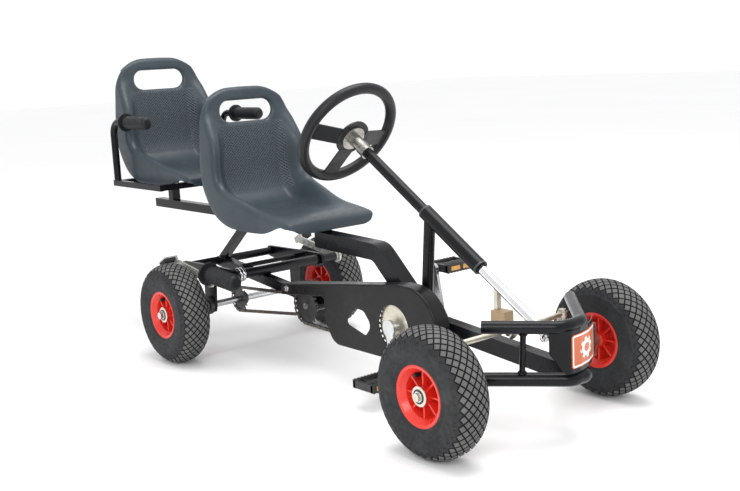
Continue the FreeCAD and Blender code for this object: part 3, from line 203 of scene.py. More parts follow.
def brake_paint():
    """Black paint in the middle of the brake shaft and bare plate on the levers at its two ends."""
    shader = painted("brake_paint", (0.0060, 0.0065, 0.0075), (0.010, 0.011, 0.013), 0.26,
                     coat=0.1, grain=500.0, specular=0.25)
    black = shader.surface.inputs["Base Color"].links[0].from_socket
    plated = shader.stretch(shader.math("ABSOLUTE", shader.axis("Y")), 0.1950, 0.1955)
    cloudy = shader.mix(shader.noise(60.0, 4.0), (0.42, 0.41, 0.38), (0.62, 0.61, 0.58))
    shader.colour(shader.mix(plated, black, cloudy))
    shader.feed(shader.surface.inputs["Metallic"], shader.math("MULTIPLY", plated, 0.4))
    return shader.material


def rubber(name, low, high, roughness=0.72):
    """Dusty rubber: dark body, paler film of dust in patches, pitted surface."""
    shader = Shader(name, roughness, specular=0.35)
    dust = shader.noise(24.0, 6.0, 0.7)
    shader.colour(shader.mix(shader.stretch(dust, 0.35, 0.68), low, high))
    shader.roughness(shader.stretch(shader.noise(120.0, 3.0), 0.3, 0.7, roughness - 0.12, roughness + 0.12))
    shader.bump(shader.noise(1400.0, 2.0), 0.00012)
    return shader.material


MATERIALS = {
    "tyre": rubber("tyre_rubber", (0.012, 0.013, 0.014), (0.030, 0.032, 0.034)),
    "tread": rubber("tread_rubber", (0.085, 0.087, 0.086), (0.130, 0.130, 0.126), 0.8),
    # Grooves and block flanks get a near-black rubber, darker than the tyre body: painted shade in the
    # recesses.
    "groove": rubber("groove_painted_shade", (0.006, 0.006, 0.007), (0.014, 0.014, 0.015), 0.85),
    "rim": painted("rim_red", (0.60, 0.018, 0.010), (0.72, 0.030, 0.016), 0.30, 0.1).material,
    "seat": painted("seat_plastic", *SEAT_SHADES, 0.38, 0.0, 700.0, 0.00006, 0.4).material,
    "frame": painted("frame_black", (0.0035, 0.0040, 0.0055), (0.0060, 0.0068, 0.0085), 0.24,
                     0.08, 500.0, 0.00003, 0.16).material,
    "guard": painted("guard_black", (0.0075, 0.0078, 0.0085), (0.012, 0.012, 0.013), 0.32,
                     0.05, 500.0, 0.00003, 0.20).material,
    "steel": metal("bright_steel", (0.50, 0.51, 0.52), (0.68, 0.69, 0.70), 0.24).material,
    "zinc": metal("yellow_zinc", (0.52, 0.48, 0.38), (0.74, 0.71, 0.62), 0.38).material,
    "cast": metal("cast_hub", (0.20, 0.19, 0.17), (0.52, 0.51, 0.48), 0.30, 150.0, 0.00006).material,
    "chrome": metal("chrome", (0.66, 0.67, 0.68), (0.80, 0.81, 0.82), 0.10).material,
    "chain": metal("chain_steel", (0.10, 0.09, 0.08), (0.24, 0.22, 0.20), 0.42).material,
    "grip": painted("grip_rubber", (0.006, 0.007, 0.008), (0.011, 0.012, 0.014), 0.45,
                    specular=0.3).material,
    "wheel_grip": painted("wheel_grip", (0.006, 0.0065, 0.0075), (0.011, 0.012, 0.013), 0.36,
                          specular=0.3).material,
    "bush": painted("nylon_bush", (0.030, 0.031, 0.034), (0.045, 0.046, 0.050), 0.5).material,
    "plate": painted("plate_orange", (0.50, 0.085, 0.016), (0.58, 0.115, 0.024), 0.35, 0.1).material,
    "pedal": painted("pedal_plastic", (0.012, 0.012, 0.013), (0.022, 0.022, 0.024), 0.5).material,
    "pad": rubber("brake_rubber", (0.014, 0.014, 0.015), (0.030, 0.030, 0.031)),
    "amber": painted("amber_reflector", (0.55, 0.22, 0.012), (0.72, 0.32, 0.02), 0.15,
                     0.6, 300.0, 0.0002).material,
    "brake": brake_paint(),
    "dark_steel": metal("dark_steel", (0.05, 0.05, 0.052), (0.11, 0.11, 0.112), 0.40).material,
    "block": painted("tan_block", (0.36, 0.25, 0.14), (0.47, 0.34, 0.20), 0.5).material,
    "cream": painted("cream_nylon", (0.62, 0.58, 0.48), (0.72, 0.68, 0.58), 0.4).material,
    "white": painted("white_border", (0.72, 0.72, 0.70), (0.80, 0.80, 0.79), 0.35).material,
}

NODE_FINISH = {
    "tyre": ("tyre_",), "rim": ("rim_",),
    "guard": ("chain_guard",), "plate": ("nose_plate",),
    "chrome": ("steering_shaft",), "cast": ("steering_hub",),
    "steel": ("crank_arms", "crank_axle", "axle_shaft", "axle_nuts", "fasteners_", "jackshaft"),
    "zinc": ("tie_rod_", "chainring", "pitman_arm", "knuckle_"),
    "brake": ("brake_yoke",), "block": ("pitman_block",),
    "dark_steel": ("jack_sprockets", "axle_sprocket", "axle_bearings"),
    "grip": ("brake_grip", "arm_grips"), "wheel_grip": ("steering_wheel",), "bush": ("column_bushes",),
    "pad": ("brake_pads",), "pedal": ("pedal_",), "chain": ("front_chain", "rear_chain"),
    "seat": ("front_seat", "rear_seat"),
}
FRAME_NODES = ("seat_beam", "seat_tube", "seat_supports", "rear_seat_carrier", "jackshaft_housing")


def finish_of(node):
    """The finish of a CAD node, by the start of its name; everything else is painted frame."""
    if node in FRAME_NODES:
        return "frame"
    for finish, starts in NODE_FINISH.items():
        if any(node.startswith(start) for start in starts):
            return finish
    return "frame"


for name, node in NODES.items():
    node.data.materials.clear()
    node.data.materials.append(MATERIALS[finish_of(name)])
    node.data.polygons.foreach_set("material_index", [0] * len(node.data.polygons))


# ---- mesh helpers -------------------------------------------------------------------------
class Shape:
    """Points and faces collected in millimetres, then made into one object."""

    def __init__(self):
        self.points = []
        self.faces = []
        self.finishes = []

    def add(self, points, faces, finish=0):
        start = len(self.points)
        self.points.extend(points)
        self.faces.extend(tuple(start + corner for corner in face) for face in faces)
        self.finishes.extend([finish] * len(faces))

    def grid(self, rows, closed_rows=False, closed_columns=False, finish=0):
        """Quads over equal rows of points."""
        count, width = len(rows), len(rows[0])
        faces = []
        for i in range(count if closed_rows else count - 1):
            for j in range(width if closed_columns else width - 1):
                after, right = (i + 1) % count, (j + 1) % width
                faces.append((i * width + j, i * width + right, after * width + right, after * width + j))
        self.add([point for row in rows for point in row], faces, finish)

    def lathe(self, profile, centre, axis, segments=48, finish=0, closed=False):
        """A surface of revolution from (radius, distance along the axis) points."""
        axis = Vector(axis).normalized()
        side = axis.orthogonal().normalized()
        other = axis.cross(side)
        centre = Vector(centre)
        rows = []
        for number in range(segments):
            angle = 2.0 * math.pi * number / segments
            out = side * math.cos(angle) + other * math.sin(angle)
            rows.append([centre + out * max(radius, 0.01) + axis * along for radius, along in profile])
        self.grid(rows, closed_rows=True, closed_columns=closed, finish=finish)

    def tube(self, path, radius, segments=12, closed=False, finish=0):
        """A round bar along a path of points, with capped ends when it is open."""
        points = [Vector(point) for point in path]
        count = len(points)
        rows = []
        normal = None
        for index, point in enumerate(points):
            before = points[index - 1] if closed or index else point
            after = points[(index + 1) % count] if closed or index < count - 1 else point
            ahead = (after - before).normalized()
            normal = ahead.orthogonal() if normal is None else normal
            normal = (normal - ahead * normal.dot(ahead)).normalized()
            other = ahead.cross(normal)
            turns = [2.0 * math.pi * number / segments for number in range(segments)]
            outward = [normal * math.cos(turn) + other * math.sin(turn) for turn in turns]
            rows.append([point + out * radius for out in outward])
        start = len(self.points)
        self.grid(rows, closed_rows=closed, closed_columns=True, finish=finish)
        if not closed:
            last = start + (count - 1) * segments
            self.faces.append(tuple(range(start + segments - 1, start - 1, -1)))
            self.faces.append(tuple(range(last, last + segments)))
            self.finishes.extend([finish, finish])

    def prism(self, outline, depth, finish=0):
        """A flat outline of points pushed along depth."""
        low = [Vector(point) for point in outline]
        high = [point + Vector(depth) for point in low]
        count = len(low)
        faces = [tuple(range(count - 1, -1, -1)), tuple(range(count, 2 * count))]
        faces += [(i, (i + 1) % count, count + (i + 1) % count, count + i) for i in range(count)]
        self.add(low + high, faces, finish)

    def hex_bolt(self, centre, axis, flats, height, finish=0):
        """A washer and a chamfered hexagon head, standing on a surface."""
        axis = Vector(axis).normalized()
        washer = 0.18 * height
        self.lathe([(0, 0), (flats * 0.72, 0), (flats * 0.72, washer), (0, washer)], centre, axis, 24, finish)
        corner = flats / math.sqrt(3.0)
        head = [(corner, washer), (corner, height * 0.85), (corner * 0.86, height), (0, height)]
        self.lathe(head, centre, axis, 6, finish)

    def piece(self, name, finishes, body, slot, replaces=(), sharp=35.0, bevel=0.0):
        mesh = bpy.data.meshes.new(name)
        mesh.from_pydata([place(*point) for point in self.points], [], self.faces)
        for finish in finishes:
            mesh.materials.append(MATERIALS[finish])
        mesh.polygons.foreach_set("material_index", self.finishes)
        work = bmesh.new()
        work.from_mesh(mesh)
        bmesh.ops.remove_doubles(work, verts=work.verts, dist=0.00002)
        bmesh.ops.recalc_face_normals(work, faces=work.faces)
        work.to_mesh(mesh)
        work.free()
        mesh.shade_smooth()
        mesh.set_sharp_from_angle(angle=math.radians(sharp))
        piece = bpy.data.objects.new(name, mesh)
        bpy.context.scene.collection.objects.link(piece)
        if bevel:
            rounding = piece.modifiers.new("rounding", "BEVEL")
            rounding.width = bevel * MM
            rounding.segments = 2
            rounding.limit_method = "ANGLE"
        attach(piece, body)
        if replaces:
            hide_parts(*replaces)
        return piece


# ---- tyres --------------------------------------------------------------------------------
CROWN = [(0.0, 130.0), (11.0, 129.4), (19.0, 127.6), (26.0, 124.6), (32.0, 120.6), (37.0, 115.0),
         (40.5, 108.0), (42.3, 100.0), (42.5, 94.0)]
GROOVE_DEPTH = 3.0
BLOCKS_ROUND = 40
BLOCK_WIDTH = 17.4
TREAD_EDGE = 44.0
GROOVED_HALF, GROOVED_RADIUS = 38.5, 112.0


def crown_point(along):
    """(distance from the wheel's middle plane, radius) at a length along the tyre's outer profile."""
    left = abs(along)
    for (w0, r0), (w1, r1) in zip(CROWN, CROWN[1:]):
        step = math.hypot(w1 - w0, r1 - r0)
        if left <= step or (w1, r1) == CROWN[-1]:
            t = left / step
            return math.copysign(w0 + (w1 - w0) * t, along), r0 + (r1 - r0) * t
        left -= step


def around(x, y, angle, width, radius):
    return x + radius * math.cos(angle), y + width, TYRE_RADIUS + radius * math.sin(angle)


def tread_block(shape, x, y, turn, along, half_turn, half_along, height, finish):
    """A diamond block whose top follows the crown and whose flanks slope down to the groove."""
    steps = 3
    top, foot = [], []
    for i in range(steps + 1):
        for j in range(steps + 1):
            u, v = 2.0 * i / steps - 1.0, 2.0 * j / steps - 1.0
            for grid, size, drop in ((top, 0.76, GROOVE_DEPTH - height), (foot, 0.86, GROOVE_DEPTH + 0.4)):
                width, radius = crown_point(along + size * half_along * (u - v) / 2.0)
                angle = turn + size * half_turn * (u + v) / 2.0
                grid.append(around(x, y, angle, width, radius - drop))
    row = steps + 1
    faces = [(i * row + j, i * row + j + 1, (i + 1) * row + j + 1, (i + 1) * row + j)
             for i in range(steps) for j in range(steps)]
    shape.add(top, faces, finish)
    ring = [j for j in range(row)] + [i * row + steps for i in range(1, row)]
    ring += [steps * row + j for j in range(steps - 1, -1, -1)] + [i * row for i in range(steps - 1, 0, -1)]
    count = len(ring)
    sides = [(i, (i + 1) % count, count + (i + 1) % count, count + i) for i in range(count)]
    # The block flanks take the groove finish: painted shade down the sides into the groove.
    shape.add([top[k] for k in ring] + [foot[k] for k in ring], sides, 2)


def carcass_profile():
    """(radius, width) round the tyre: bead, sidewall with moulded rings, and the grooved crown."""
    side = [(51.0, 26.0), (55.0, 31.0), (59.0, 34.6), (63.0, 36.4), (66.0, 37.4), (67.5, 38.6),
            (70.0, 38.9), (72.0, 38.6), (80.0, 41.2), (88.0, 42.2), (94.0, 42.4), (99.0, 42.1),
            (100.5, 42.5), (102.5, 42.3), (104.0, 41.1), (108.0, 39.8)]
    crown = []
    for number in range(9):
        width, radius = crown_point(44.0 - number * 5.5)
        drop = GROOVE_DEPTH * smooth_step(44.0 - number * 5.5, 44.0, 36.0)
        crown.append((radius - drop, width - 0.3 * drop))
    outer = side + crown
    inner = [(119.0, 20.0), (110.0, 31.0), (94.0, 35.0), (80.0, 34.0), (68.0, 29.0), (55.0, 20.0),
             (51.0, 19.0)]
    return outer + [(r, -w) for r, w in reversed(outer[:-1])] + [(r, -w) for r, w in reversed(inner)] + inner


def tyre(name, x, y, body):
    shape = Shape()
    shape.lathe(carcass_profile(), (x, y, TYRE_RADIUS), (0, 1, 0), 160, 0, closed=True)
    # Crown faces between the blocks take the groove finish, painted shade darker than the tyre body.
    for number, face in enumerate(shape.faces):
        middle = sum((Vector(shape.points[corner]) for corner in face), Vector()) / len(face)
        radius = math.hypot(middle.x - x, middle.z - TYRE_RADIUS)
        if abs(middle.y - y) < GROOVED_HALF and radius > GROOVED_RADIUS:
            shape.finishes[number] = 2
    step = 2.0 * math.pi / BLOCKS_ROUND
    rows = int(TREAD_EDGE / (BLOCK_WIDTH / 2.0))
    for row in range(-rows, rows + 1):
        for number in range(BLOCKS_ROUND):
            turn = (number + 0.5 * (row % 2)) * step
            shoulder = abs(row) == rows
            tread_block(shape, x, y, turn, row * BLOCK_WIDTH / 2.0, step / 2.0, BLOCK_WIDTH / 2.0,
                        GROOVE_DEPTH + (0.35 if shoulder else 0.0), 0 if shoulder else 1)
    return shape.piece(name, ("tyre", "tread", "groove"), body, "tyre", (name,), 40.0)


def valve(name, x, y, side, body):
    """Rubber valve stem with its cap, leaning out of the rim between two ribs."""
    turn = math.radians(112.0)
    foot = Vector((x + 40.0 * math.cos(turn), y + side * 4.0, TYRE_RADIUS + 40.0 * math.sin(turn)))
    shape = Shape()
    profile = [(0, 0), (6.0, 0), (5.0, 4.0), (3.6, 8.0), (3.4, 15.0), (4.2, 15.5), (4.2, 24.0),
               (3.4, 25.5), (0, 25.5)]
    shape.lathe(profile, foot, (0.0, side, 0.0), 20)
    return shape.piece(name, ("grip",), body, "grip")


for end, x, track in (("front", WHEELBASE, TRACK_FRONT), ("rear", 0.0, TRACK_REAR)):
    for side_name, side in (("right", -1.0), ("left", 1.0)):
        body = "rear_axle" if end == "rear" else "front_wheel_" + side_name
        tyre("tyre_%s_%s" % (end, side_name), x, side * track / 2.0, body)
        valve("valve_%s_%s" % (end, side_name), x, side * track / 2.0, side, body)


# ---- seats --------------------------------------------------------------------------------
SEAT_SPINE = [(14.0, 703.0), (19.0, 680.0), (22.0, 650.0), (24.0, 610.0),
              (27.0, 520.0), (38.0, 446.0), (76.0, 402.0), (140.0, 386.0), (250.0, 382.0), (356.0, 381.0),
              (372.0, 374.0), (377.0, 350.0)]
SEAT_STEP_X, SEAT_STEP_Z = 458.0, 88.0
SEAT_WALL = 4.0
HOLE_TOP, HOLE_LOW, HOLE_TOP_HALF, HOLE_LOW_HALF, HOLE_CORNER = 665.0, 609.0, 80.0, 76.0, 27.5
HOLE_ROLL = 14.0
BACK_FRONT, BACK_LOW = 60.0, 560.0


def spline(points):
    """A natural cubic through the points: point and tangent at a share of its length, and the length."""
    points = np.array(points, float)
    knots = np.concatenate(([0.0], np.cumsum(np.hypot(*np.diff(points, axis=0).T))))
    steps = np.diff(knots)
    count = len(points)
    system = np.eye(count)
    right = np.zeros((count, 2))
    for i in range(1, count - 1):
        system[i, i - 1:i + 2] = steps[i - 1], 2.0 * (steps[i - 1] + steps[i]), steps[i]
        right[i] = 6.0 * ((points[i + 1] - points[i]) / steps[i] - (points[i] - points[i - 1]) / steps[i - 1])
    bend = np.linalg.solve(system, right)
    at = np.linspace(0.0, knots[-1], 2000)
    i = np.clip(np.searchsorted(knots, at, side="right") - 1, 0, count - 2)
    h = steps[i][:, None]
    a = ((knots[i + 1] - at)[:, None]) / h
    b = 1.0 - a
    curving = ((a ** 3 - a) * bend[i] + (b ** 3 - b) * bend[i + 1]) * h * h / 6.0
    line = a * points[i] + b * points[i + 1] + curving
    length = np.concatenate(([0.0], np.cumsum(np.hypot(*np.diff(line, axis=0).T))))
    slope = np.gradient(line, length, axis=0)
    share = length / length[-1]

    def value(t):
        return [np.interp(t, share, column) for column in (line[:, 0], line[:, 1], slope[:, 0], slope[:, 1])]

    return value, length[-1]


SEAT_CURVE, SEAT_LENGTH = spline(SEAT_SPINE)
SEAT_TOP_CORNER, SEAT_LIP_CORNER = 90.0, 50.0
SEAT_CORNER_BEND = 0.47
SEAT_CROWN = 9.0
SEAT_ROLL, SEAT_TOP_FLANGE = 14.0, 9.0


def round_corner(across, along):
    """Bends the square corner of a sheet into a round one; both run 0 to 1 inside the corner."""
    if across <= 0.0 or along <= 0.0:
        return across, along
    return (across * math.sqrt(1.0 - SEAT_CORNER_BEND * along * along),
            along * math.sqrt(1.0 - SEAT_CORNER_BEND * across * across))


def rolled(share, reach, start, turned):
    """Place and depth of a rolled edge: flat up to start, a quarter turn up to turned, then a flange."""
    if share <= start:
        return share / start * (reach - SEAT_ROLL), 0.0, 0.0
    if share <= turned:
        angle = math.pi / 2.0 * (share - start) / (turned - start)
        return reach - SEAT_ROLL + SEAT_ROLL * math.sin(angle), SEAT_ROLL * (1.0 - math.cos(angle)), 0.0
    return reach, SEAT_ROLL, (share - turned) / (1.0 - turned)


def seat_point(a, b):
    """A point of the seat's upper face: a runs across, -1 to 1, and b from the top to the lip."""
    t = (b + 1.0) / 2.0
    width = 137.0 + 14.0 * smooth_step(t, 0.05, 0.36) - 13.0 * smooth_step(t, 0.5, 0.8)
    half = SEAT_LENGTH / 2.0
    across, side_depth, side_flange = rolled(abs(a), width, 0.88, 0.95)
    if b < 0.0:
        corner = SEAT_TOP_CORNER
        run, top_depth, top_flange = rolled(-b, half, 0.94, 0.975)
    else:
        corner = SEAT_LIP_CORNER
        run, top_depth, top_flange = b * half, 0.0, 0.0
    out, along = round_corner((across - width + corner) / corner, (run - half + corner) / corner)
    sag = SEAT_CROWN * (across / width) ** 2 * (1.0 - smooth_step(t, 0.0, 0.22))
    run = half - corner + corner * along - sag
    x, z, ahead_x, ahead_z = SEAT_CURVE(0.5 + math.copysign(run, b) / SEAT_LENGTH)
    bolster = 52.0 * smooth_step(t, 0.07, 0.28) * (1.0 - smooth_step(t, 0.50, 0.93))
    edge = 14.0 + 22.0 * smooth_step(t, 0.42, 0.62) - 26.0 * smooth_step(t, 0.78, 0.97)
    side_drop = side_depth + max(bolster + edge - SEAT_ROLL, 0.0) * side_flange
    top_drop = top_depth + SEAT_TOP_FLANGE * top_flange
    lift = bolster * smooth_step(abs(a), 0.50, 0.88) - max(side_drop, top_drop)
    return Vector((x - ahead_z * lift, math.copysign(width - corner + corner * out, a), z + ahead_x * lift))


def hole_distance(y, z):
    """Signed distance to the hand hole's rounded outline, negative inside it, and the nearest point on it."""
    half = HOLE_CORNER
    corners = [(-HOLE_TOP_HALF + half, HOLE_TOP - half), (HOLE_TOP_HALF - half, HOLE_TOP - half),
               (HOLE_LOW_HALF - half, HOLE_LOW + half), (-HOLE_LOW_HALF + half, HOLE_LOW + half)]
    best, nearest, inside = 1e9, None, True
    for (y0, z0), (y1, z1) in zip(corners, corners[1:] + corners[:1]):
        dy, dz = y1 - y0, z1 - z0
        t = min(max(((y - y0) * dy + (z - z0) * dz) / (dy * dy + dz * dz), 0.0), 1.0)
        near_y, near_z = y0 + t * dy, z0 + t * dz
        distance = math.hypot(y - near_y, z - near_z)
        if distance < best:
            best, nearest = distance, (near_y, near_z)
        inside = inside and (dy * (z - z0) - dz * (y - y0)) < 0.0
    signed = -best if inside else best
    if inside or best < 1e-6:
        return signed - half, (y, z)
    reach = half / best
    return signed - half, (nearest[0] + (y - nearest[0]) * reach, nearest[1] + (z - nearest[1]) * reach)


def seat_mesh(name, shift_x, shift_z, finish, replaced):
    """The bucket as a fine grid: faces inside the hand hole go, its rim is snapped and rolled back."""
    rows, columns = 200, 110
    grid = []
    for i in range(rows + 1):
        s = -1.0 + 2.0 * i / rows
        b = 0.6 * s + 0.4 * math.sin(math.pi / 2.0 * s)
        line = []
        for j in range(columns + 1):
            s = -1.0 + 2.0 * j / columns
            line.append(seat_point(0.6 * s + 0.4 * math.sin(math.pi / 2.0 * s), b))
        grid.append(line)
    far = (99.0, None)
    distances = [[hole_distance(point.y, point.z) if point.x < BACK_FRONT and point.z > BACK_LOW else far
                  for point in line] for line in grid]
    kept = set()
    for i in range(rows):
        for j in range(columns):
            corners = [(i, j), (i, j + 1), (i + 1, j + 1), (i + 1, j)]
            if sum(distances[a][b][0] < 0.0 for a, b in corners) <= 1:
                kept.add((i, j))
    used = {}
    for i, j in kept:
        for a, b in ((i, j), (i, j + 1), (i + 1, j + 1), (i + 1, j)):
            used[(a, b)] = used.get((a, b), 0) + 1
    shape = Shape()
    index = {}
    for (a, b), count in used.items():
        point = grid[a][b].copy()
        distance, snapped = distances[a][b]
        near_rim = snapped is not None and distance < 4.0 and count < 4 and 0 < a < rows and 0 < b < columns
        if near_rim:
            point.y, point.z = snapped
            distance = 0.0
        if snapped is not None and distance < HOLE_ROLL:
            point.x -= 8.0 * (1.0 - math.sqrt(max(0.0, 1.0 - (1.0 - max(distance, 0.0) / HOLE_ROLL) ** 2)))
        index[(a, b)] = len(shape.points)
        shape.points.append(point + Vector((shift_x, 0.0, shift_z)))
    for i, j in sorted(kept):
        shape.faces.append((index[(i, j)], index[(i + 1, j)], index[(i + 1, j + 1)], index[(i, j + 1)]))
        shape.finishes.append(0)
    seat = shape.piece(name, (finish,), "chassis", "seat", (replaced,), 60.0)
    wall = seat.modifiers.new("wall", "SOLIDIFY")
    wall.thickness = SEAT_WALL * MM
    wall.offset = -1.0
    rounding = seat.modifiers.new("rounding", "BEVEL")
    rounding.width = 1.4 * MM
    rounding.segments = 2
    rounding.limit_method = "ANGLE"
    rounding.angle_limit = math.radians(55.0)
    return seat


PANEL_LOW, PANEL_HIGH, PANEL_HALF, PANEL_PITCH = 0.432, 0.600, 0.098, 0.0085
MATERIALS["front_seat"] = hatched_seat_plastic("front_seat_plastic", PANEL_LOW, PANEL_HIGH,
                                               PANEL_HALF, PANEL_PITCH)
MATERIALS["rear_seat"] = hatched_seat_plastic("rear_seat_plastic", PANEL_LOW + SEAT_STEP_Z * MM,
                                              PANEL_HIGH + SEAT_STEP_Z * MM, PANEL_HALF, PANEL_PITCH)
seat_mesh("front_bucket", 0.0, 0.0, "front_seat", "front_seat")
seat_mesh("rear_bucket", -SEAT_STEP_X, SEAT_STEP_Z, "rear_seat", "rear_seat")


# ---- chains -------------------------------------------------------------------------------
def pitch_radius(teeth):
    return CHAIN_PITCH / 2.0 / math.sin(math.pi / teeth)


def chain_path(first, first_radius, second, second_radius):
    """Points at equal steps round the loop, one for each chain pin."""
    dx, dz = second[0] - first[0], second[1] - first[1]
    span, lean = math.hypot(dx, dz), math.atan2(dz, dx)
    tuck = math.acos((first_radius - second_radius) / span)
    run = math.sqrt(span ** 2 - (first_radius - second_radius) ** 2)
    second_arc, first_arc = 2.0 * tuck * second_radius, 2.0 * (math.pi - tuck) * first_radius
    total = 2.0 * run + second_arc + first_arc
    count = 2 * round(total / CHAIN_PITCH / 2.0)

    def rim_point(centre, radius, angle):
        return centre[0] + radius * math.cos(angle), centre[1] + radius * math.sin(angle)

    points = []
    for number in range(count):
        left = number * total / count
        if left < run:
            a, b = rim_point(first, first_radius, lean + tuck), rim_point(second, second_radius, lean + tuck)
            t = left / run
            points.append((a[0] + (b[0] - a[0]) * t, a[1] + (b[1] - a[1]) * t))
        elif left < run + second_arc:
            points.append(rim_point(second, second_radius, lean + tuck - (left - run) / second_radius))
        elif left < 2.0 * run + second_arc:
            a, b = rim_point(second, second_radius, lean - tuck), rim_point(first, first_radius, lean - tuck)
            t = (left - run - second_arc) / run
            points.append((a[0] + (b[0] - a[0]) * t, a[1] + (b[1] - a[1]) * t))
        else:
            turned = (left - 2.0 * run - second_arc) / first_radius
            points.append(rim_point(first, first_radius, lean - tuck - turned))
    return points


def link_outline(start, end, radius, waist):
    """A figure-of-eight plate outline between two pins in the XZ plane."""
    ahead = Vector((end[0] - start[0], 0.0, end[1] - start[1]))
    length = ahead.length
    ahead.normalize()
    up = Vector((-ahead.z, 0.0, ahead.x))
    outline = []
    for centre, facing in ((0.0, math.pi), (length, 0.0)):
        for step in range(-3, 4):
            turn = facing - step * math.pi / 5.2
            outline.append(ahead * (centre + radius * math.cos(turn)) + up * radius * math.sin(turn))
        if centre == 0.0:
            outline.append(ahead * (length / 2.0) + up * waist)
    outline.append(ahead * (length / 2.0) - up * waist)
    return [point + Vector((start[0], 0.0, start[1])) for point in outline]


def chain(name, path, y, replaced):
    """Roller chain: inner and outer plates in turn, with a pin and roller at each joint."""
    shape = Shape()
    count = len(path)
    for number, start in enumerate(path):
        end = path[(number + 1) % count]
        low, high = (2.3, 3.4) if number % 2 else (3.5, 4.6)
        outline = link_outline(start, end, 3.9, 2.7)
        for side in (-1.0, 1.0):
            base = [point + Vector((0.0, y + side * low, 0.0)) for point in outline]
            shape.prism(base, (0.0, side * (high - low), 0.0))
        shape.lathe([(0, -4.6), (1.6, -4.6), (1.6, 4.6), (0, 4.6)], (start[0], y, start[1]), (0, 1, 0), 8)
    return shape.piece(name, ("chain",), "chassis", "chain", (replaced,), 30.0)


front_path = chain_path(CRANK, pitch_radius(28), JACK, pitch_radius(22))
rear_path = chain_path((0.0, TYRE_RADIUS), pitch_radius(16), JACK, pitch_radius(12))
chain("front_roller_chain", front_path, -60.0, "front_chain")
chain("rear_roller_chain", rear_path, -50.0, "rear_chain")


# ---- pedals -------------------------------------------------------------------------------
PEDAL_LENGTH, PEDAL_WIDTH, PEDAL_HEIGHT = 72.0, 88.0, 22.0
PEDAL_Y = 135.0
PEDAL_TEETH, PEDAL_TOOTH_STEP = 9, 9.6
REFLECTOR_STARTS, REFLECTOR_LENGTH, REFLECTOR_THICK = (-33.0, 5.0), 28.0, 2.5


def block(shape, x0, x1, y0, y1, z0, z1, finish=0):
    """A rectangular bar between two corners."""
    outline = [(x0, y0, z0), (x1, y0, z0), (x1, y1, z0), (x0, y1, z0)]
    shape.prism(outline, (0.0, 0.0, z1 - z0), finish)


def pedal(side_name, side, tilt):
    """Moulded pedal: a ribbed cage with grip teeth, a spindle barrel and amber reflectors fore and aft."""
    x = CRANK[0] - side * CRANK_LENGTH * math.sin(tilt)
    z = CRANK[1] + side * CRANK_LENGTH * math.cos(tilt)
    y = side * PEDAL_Y
    half_x, half_y, half_z = PEDAL_LENGTH / 2.0, PEDAL_WIDTH / 2.0, PEDAL_HEIGHT / 2.0
    shape = Shape()
    for end in (-1.0, 1.0):
        bar = x + end * (half_x - 5.5)
        block(shape, bar - 4.5, bar + 4.5, y - half_y, y + half_y, z - half_z + 1.5, z + half_z - 1.5)
        cheek = y + end * (half_y - 4.0)
        block(shape, x - half_x + 2.0, x + half_x - 2.0, cheek - 4.0, cheek + 4.0,
              z - half_z + 2.0, z + half_z - 2.0)
        outer, inner = x + end * half_x, x + end * (half_x - REFLECTOR_THICK)
        for low in REFLECTOR_STARTS:
            block(shape, min(outer, inner), max(outer, inner), y + low, y + low + REFLECTOR_LENGTH,
                  z - 5.0, z + 5.0, 1)
        for number in range(PEDAL_TEETH):
            tooth = y - half_y + 5.0 + number * PEDAL_TOOTH_STEP
            for face in (-1.0, 1.0):
                tip, root = z + face * half_z, z + face * (half_z - 2.0)
                block(shape, bar - 4.0, bar + 4.0, tooth - 2.0, tooth + 2.0, min(tip, root), max(tip, root))
    for rib in (-20.0, 20.0):
        block(shape, x - half_x + 5.0, x + half_x - 5.0, y + rib - 3.0, y + rib + 3.0, z - 6.0, z + 6.0)
    shape.tube([(x, y - half_y + 1.0, z), (x, y + half_y - 1.0, z)], 9.0, 24)
    node = "pedal_" + side_name
    return shape.piece("cage_" + side_name, ("pedal", "amber"), node, "pedal", (node,), bevel=0.8)


pedal("right", -1.0, CRANK_TILT)
pedal("left", 1.0, CRANK_TILT)


# ---- number plate -------------------------------------------------------------------------
PLATE_LINE = [(1118.0, -71.0), (1148.2, -49.0), (1145.5, -14.0), (1137.0, 18.0), (1122.0, 48.0),
              (1108.0, 68.0)]
PLATE_FRONT = 3.5
PRINT_THICK = 0.35


def on_plate(y, z, ahead):
    """A point in front of the curved number plate."""
    xs = [point[0] for point in PLATE_LINE]
    ys = [point[1] for point in PLATE_LINE]
    slope = (np.interp(y + 4.0, ys, xs) - np.interp(y - 4.0, ys, xs)) / 8.0
    length = math.hypot(1.0, slope)
    return Vector((float(np.interp(y, ys, xs)) + ahead / length, y - ahead * slope / length, z))


def printed_ring(shape, outer, inner):
    """A thin raised band between two outlines that have the same number of (y, z) points."""
    rows = []
    for (y0, z0), (y1, z1) in zip(outer, inner):
        rows.append([on_plate(y0, z0, PLATE_FRONT), on_plate(y0, z0, PLATE_FRONT + PRINT_THICK),
                     on_plate(y1, z1, PLATE_FRONT + PRINT_THICK), on_plate(y1, z1, PLATE_FRONT)])
    shape.grid(rows, closed_rows=True, closed_columns=True)


def rounded_outline(y0, y1, z0, z1, radius, per_side=12):
    corners = [(y1 - radius, z1 - radius, 0.0), (y0 + radius, z1 - radius, 90.0),
               (y0 + radius, z0 + radius, 180.0), (y1 - radius, z0 + radius, 270.0)]
    points = []
    for number, (y, z, turn) in enumerate(corners):
        for step in range(7):
            angle = math.radians(turn + 15.0 * step)
            points.append((y + radius * math.cos(angle), z + radius * math.sin(angle)))
        after = corners[(number + 1) % 4]
        first = math.radians(after[2])
        target = (after[0] + radius * math.cos(first), after[1] + radius * math.sin(first))
        last = points[-1]
        for step in range(1, per_side):
            share = step / per_side
            points.append((last[0] + (target[0] - last[0]) * share, last[1] + (target[1] - last[1]) * share))
    return points


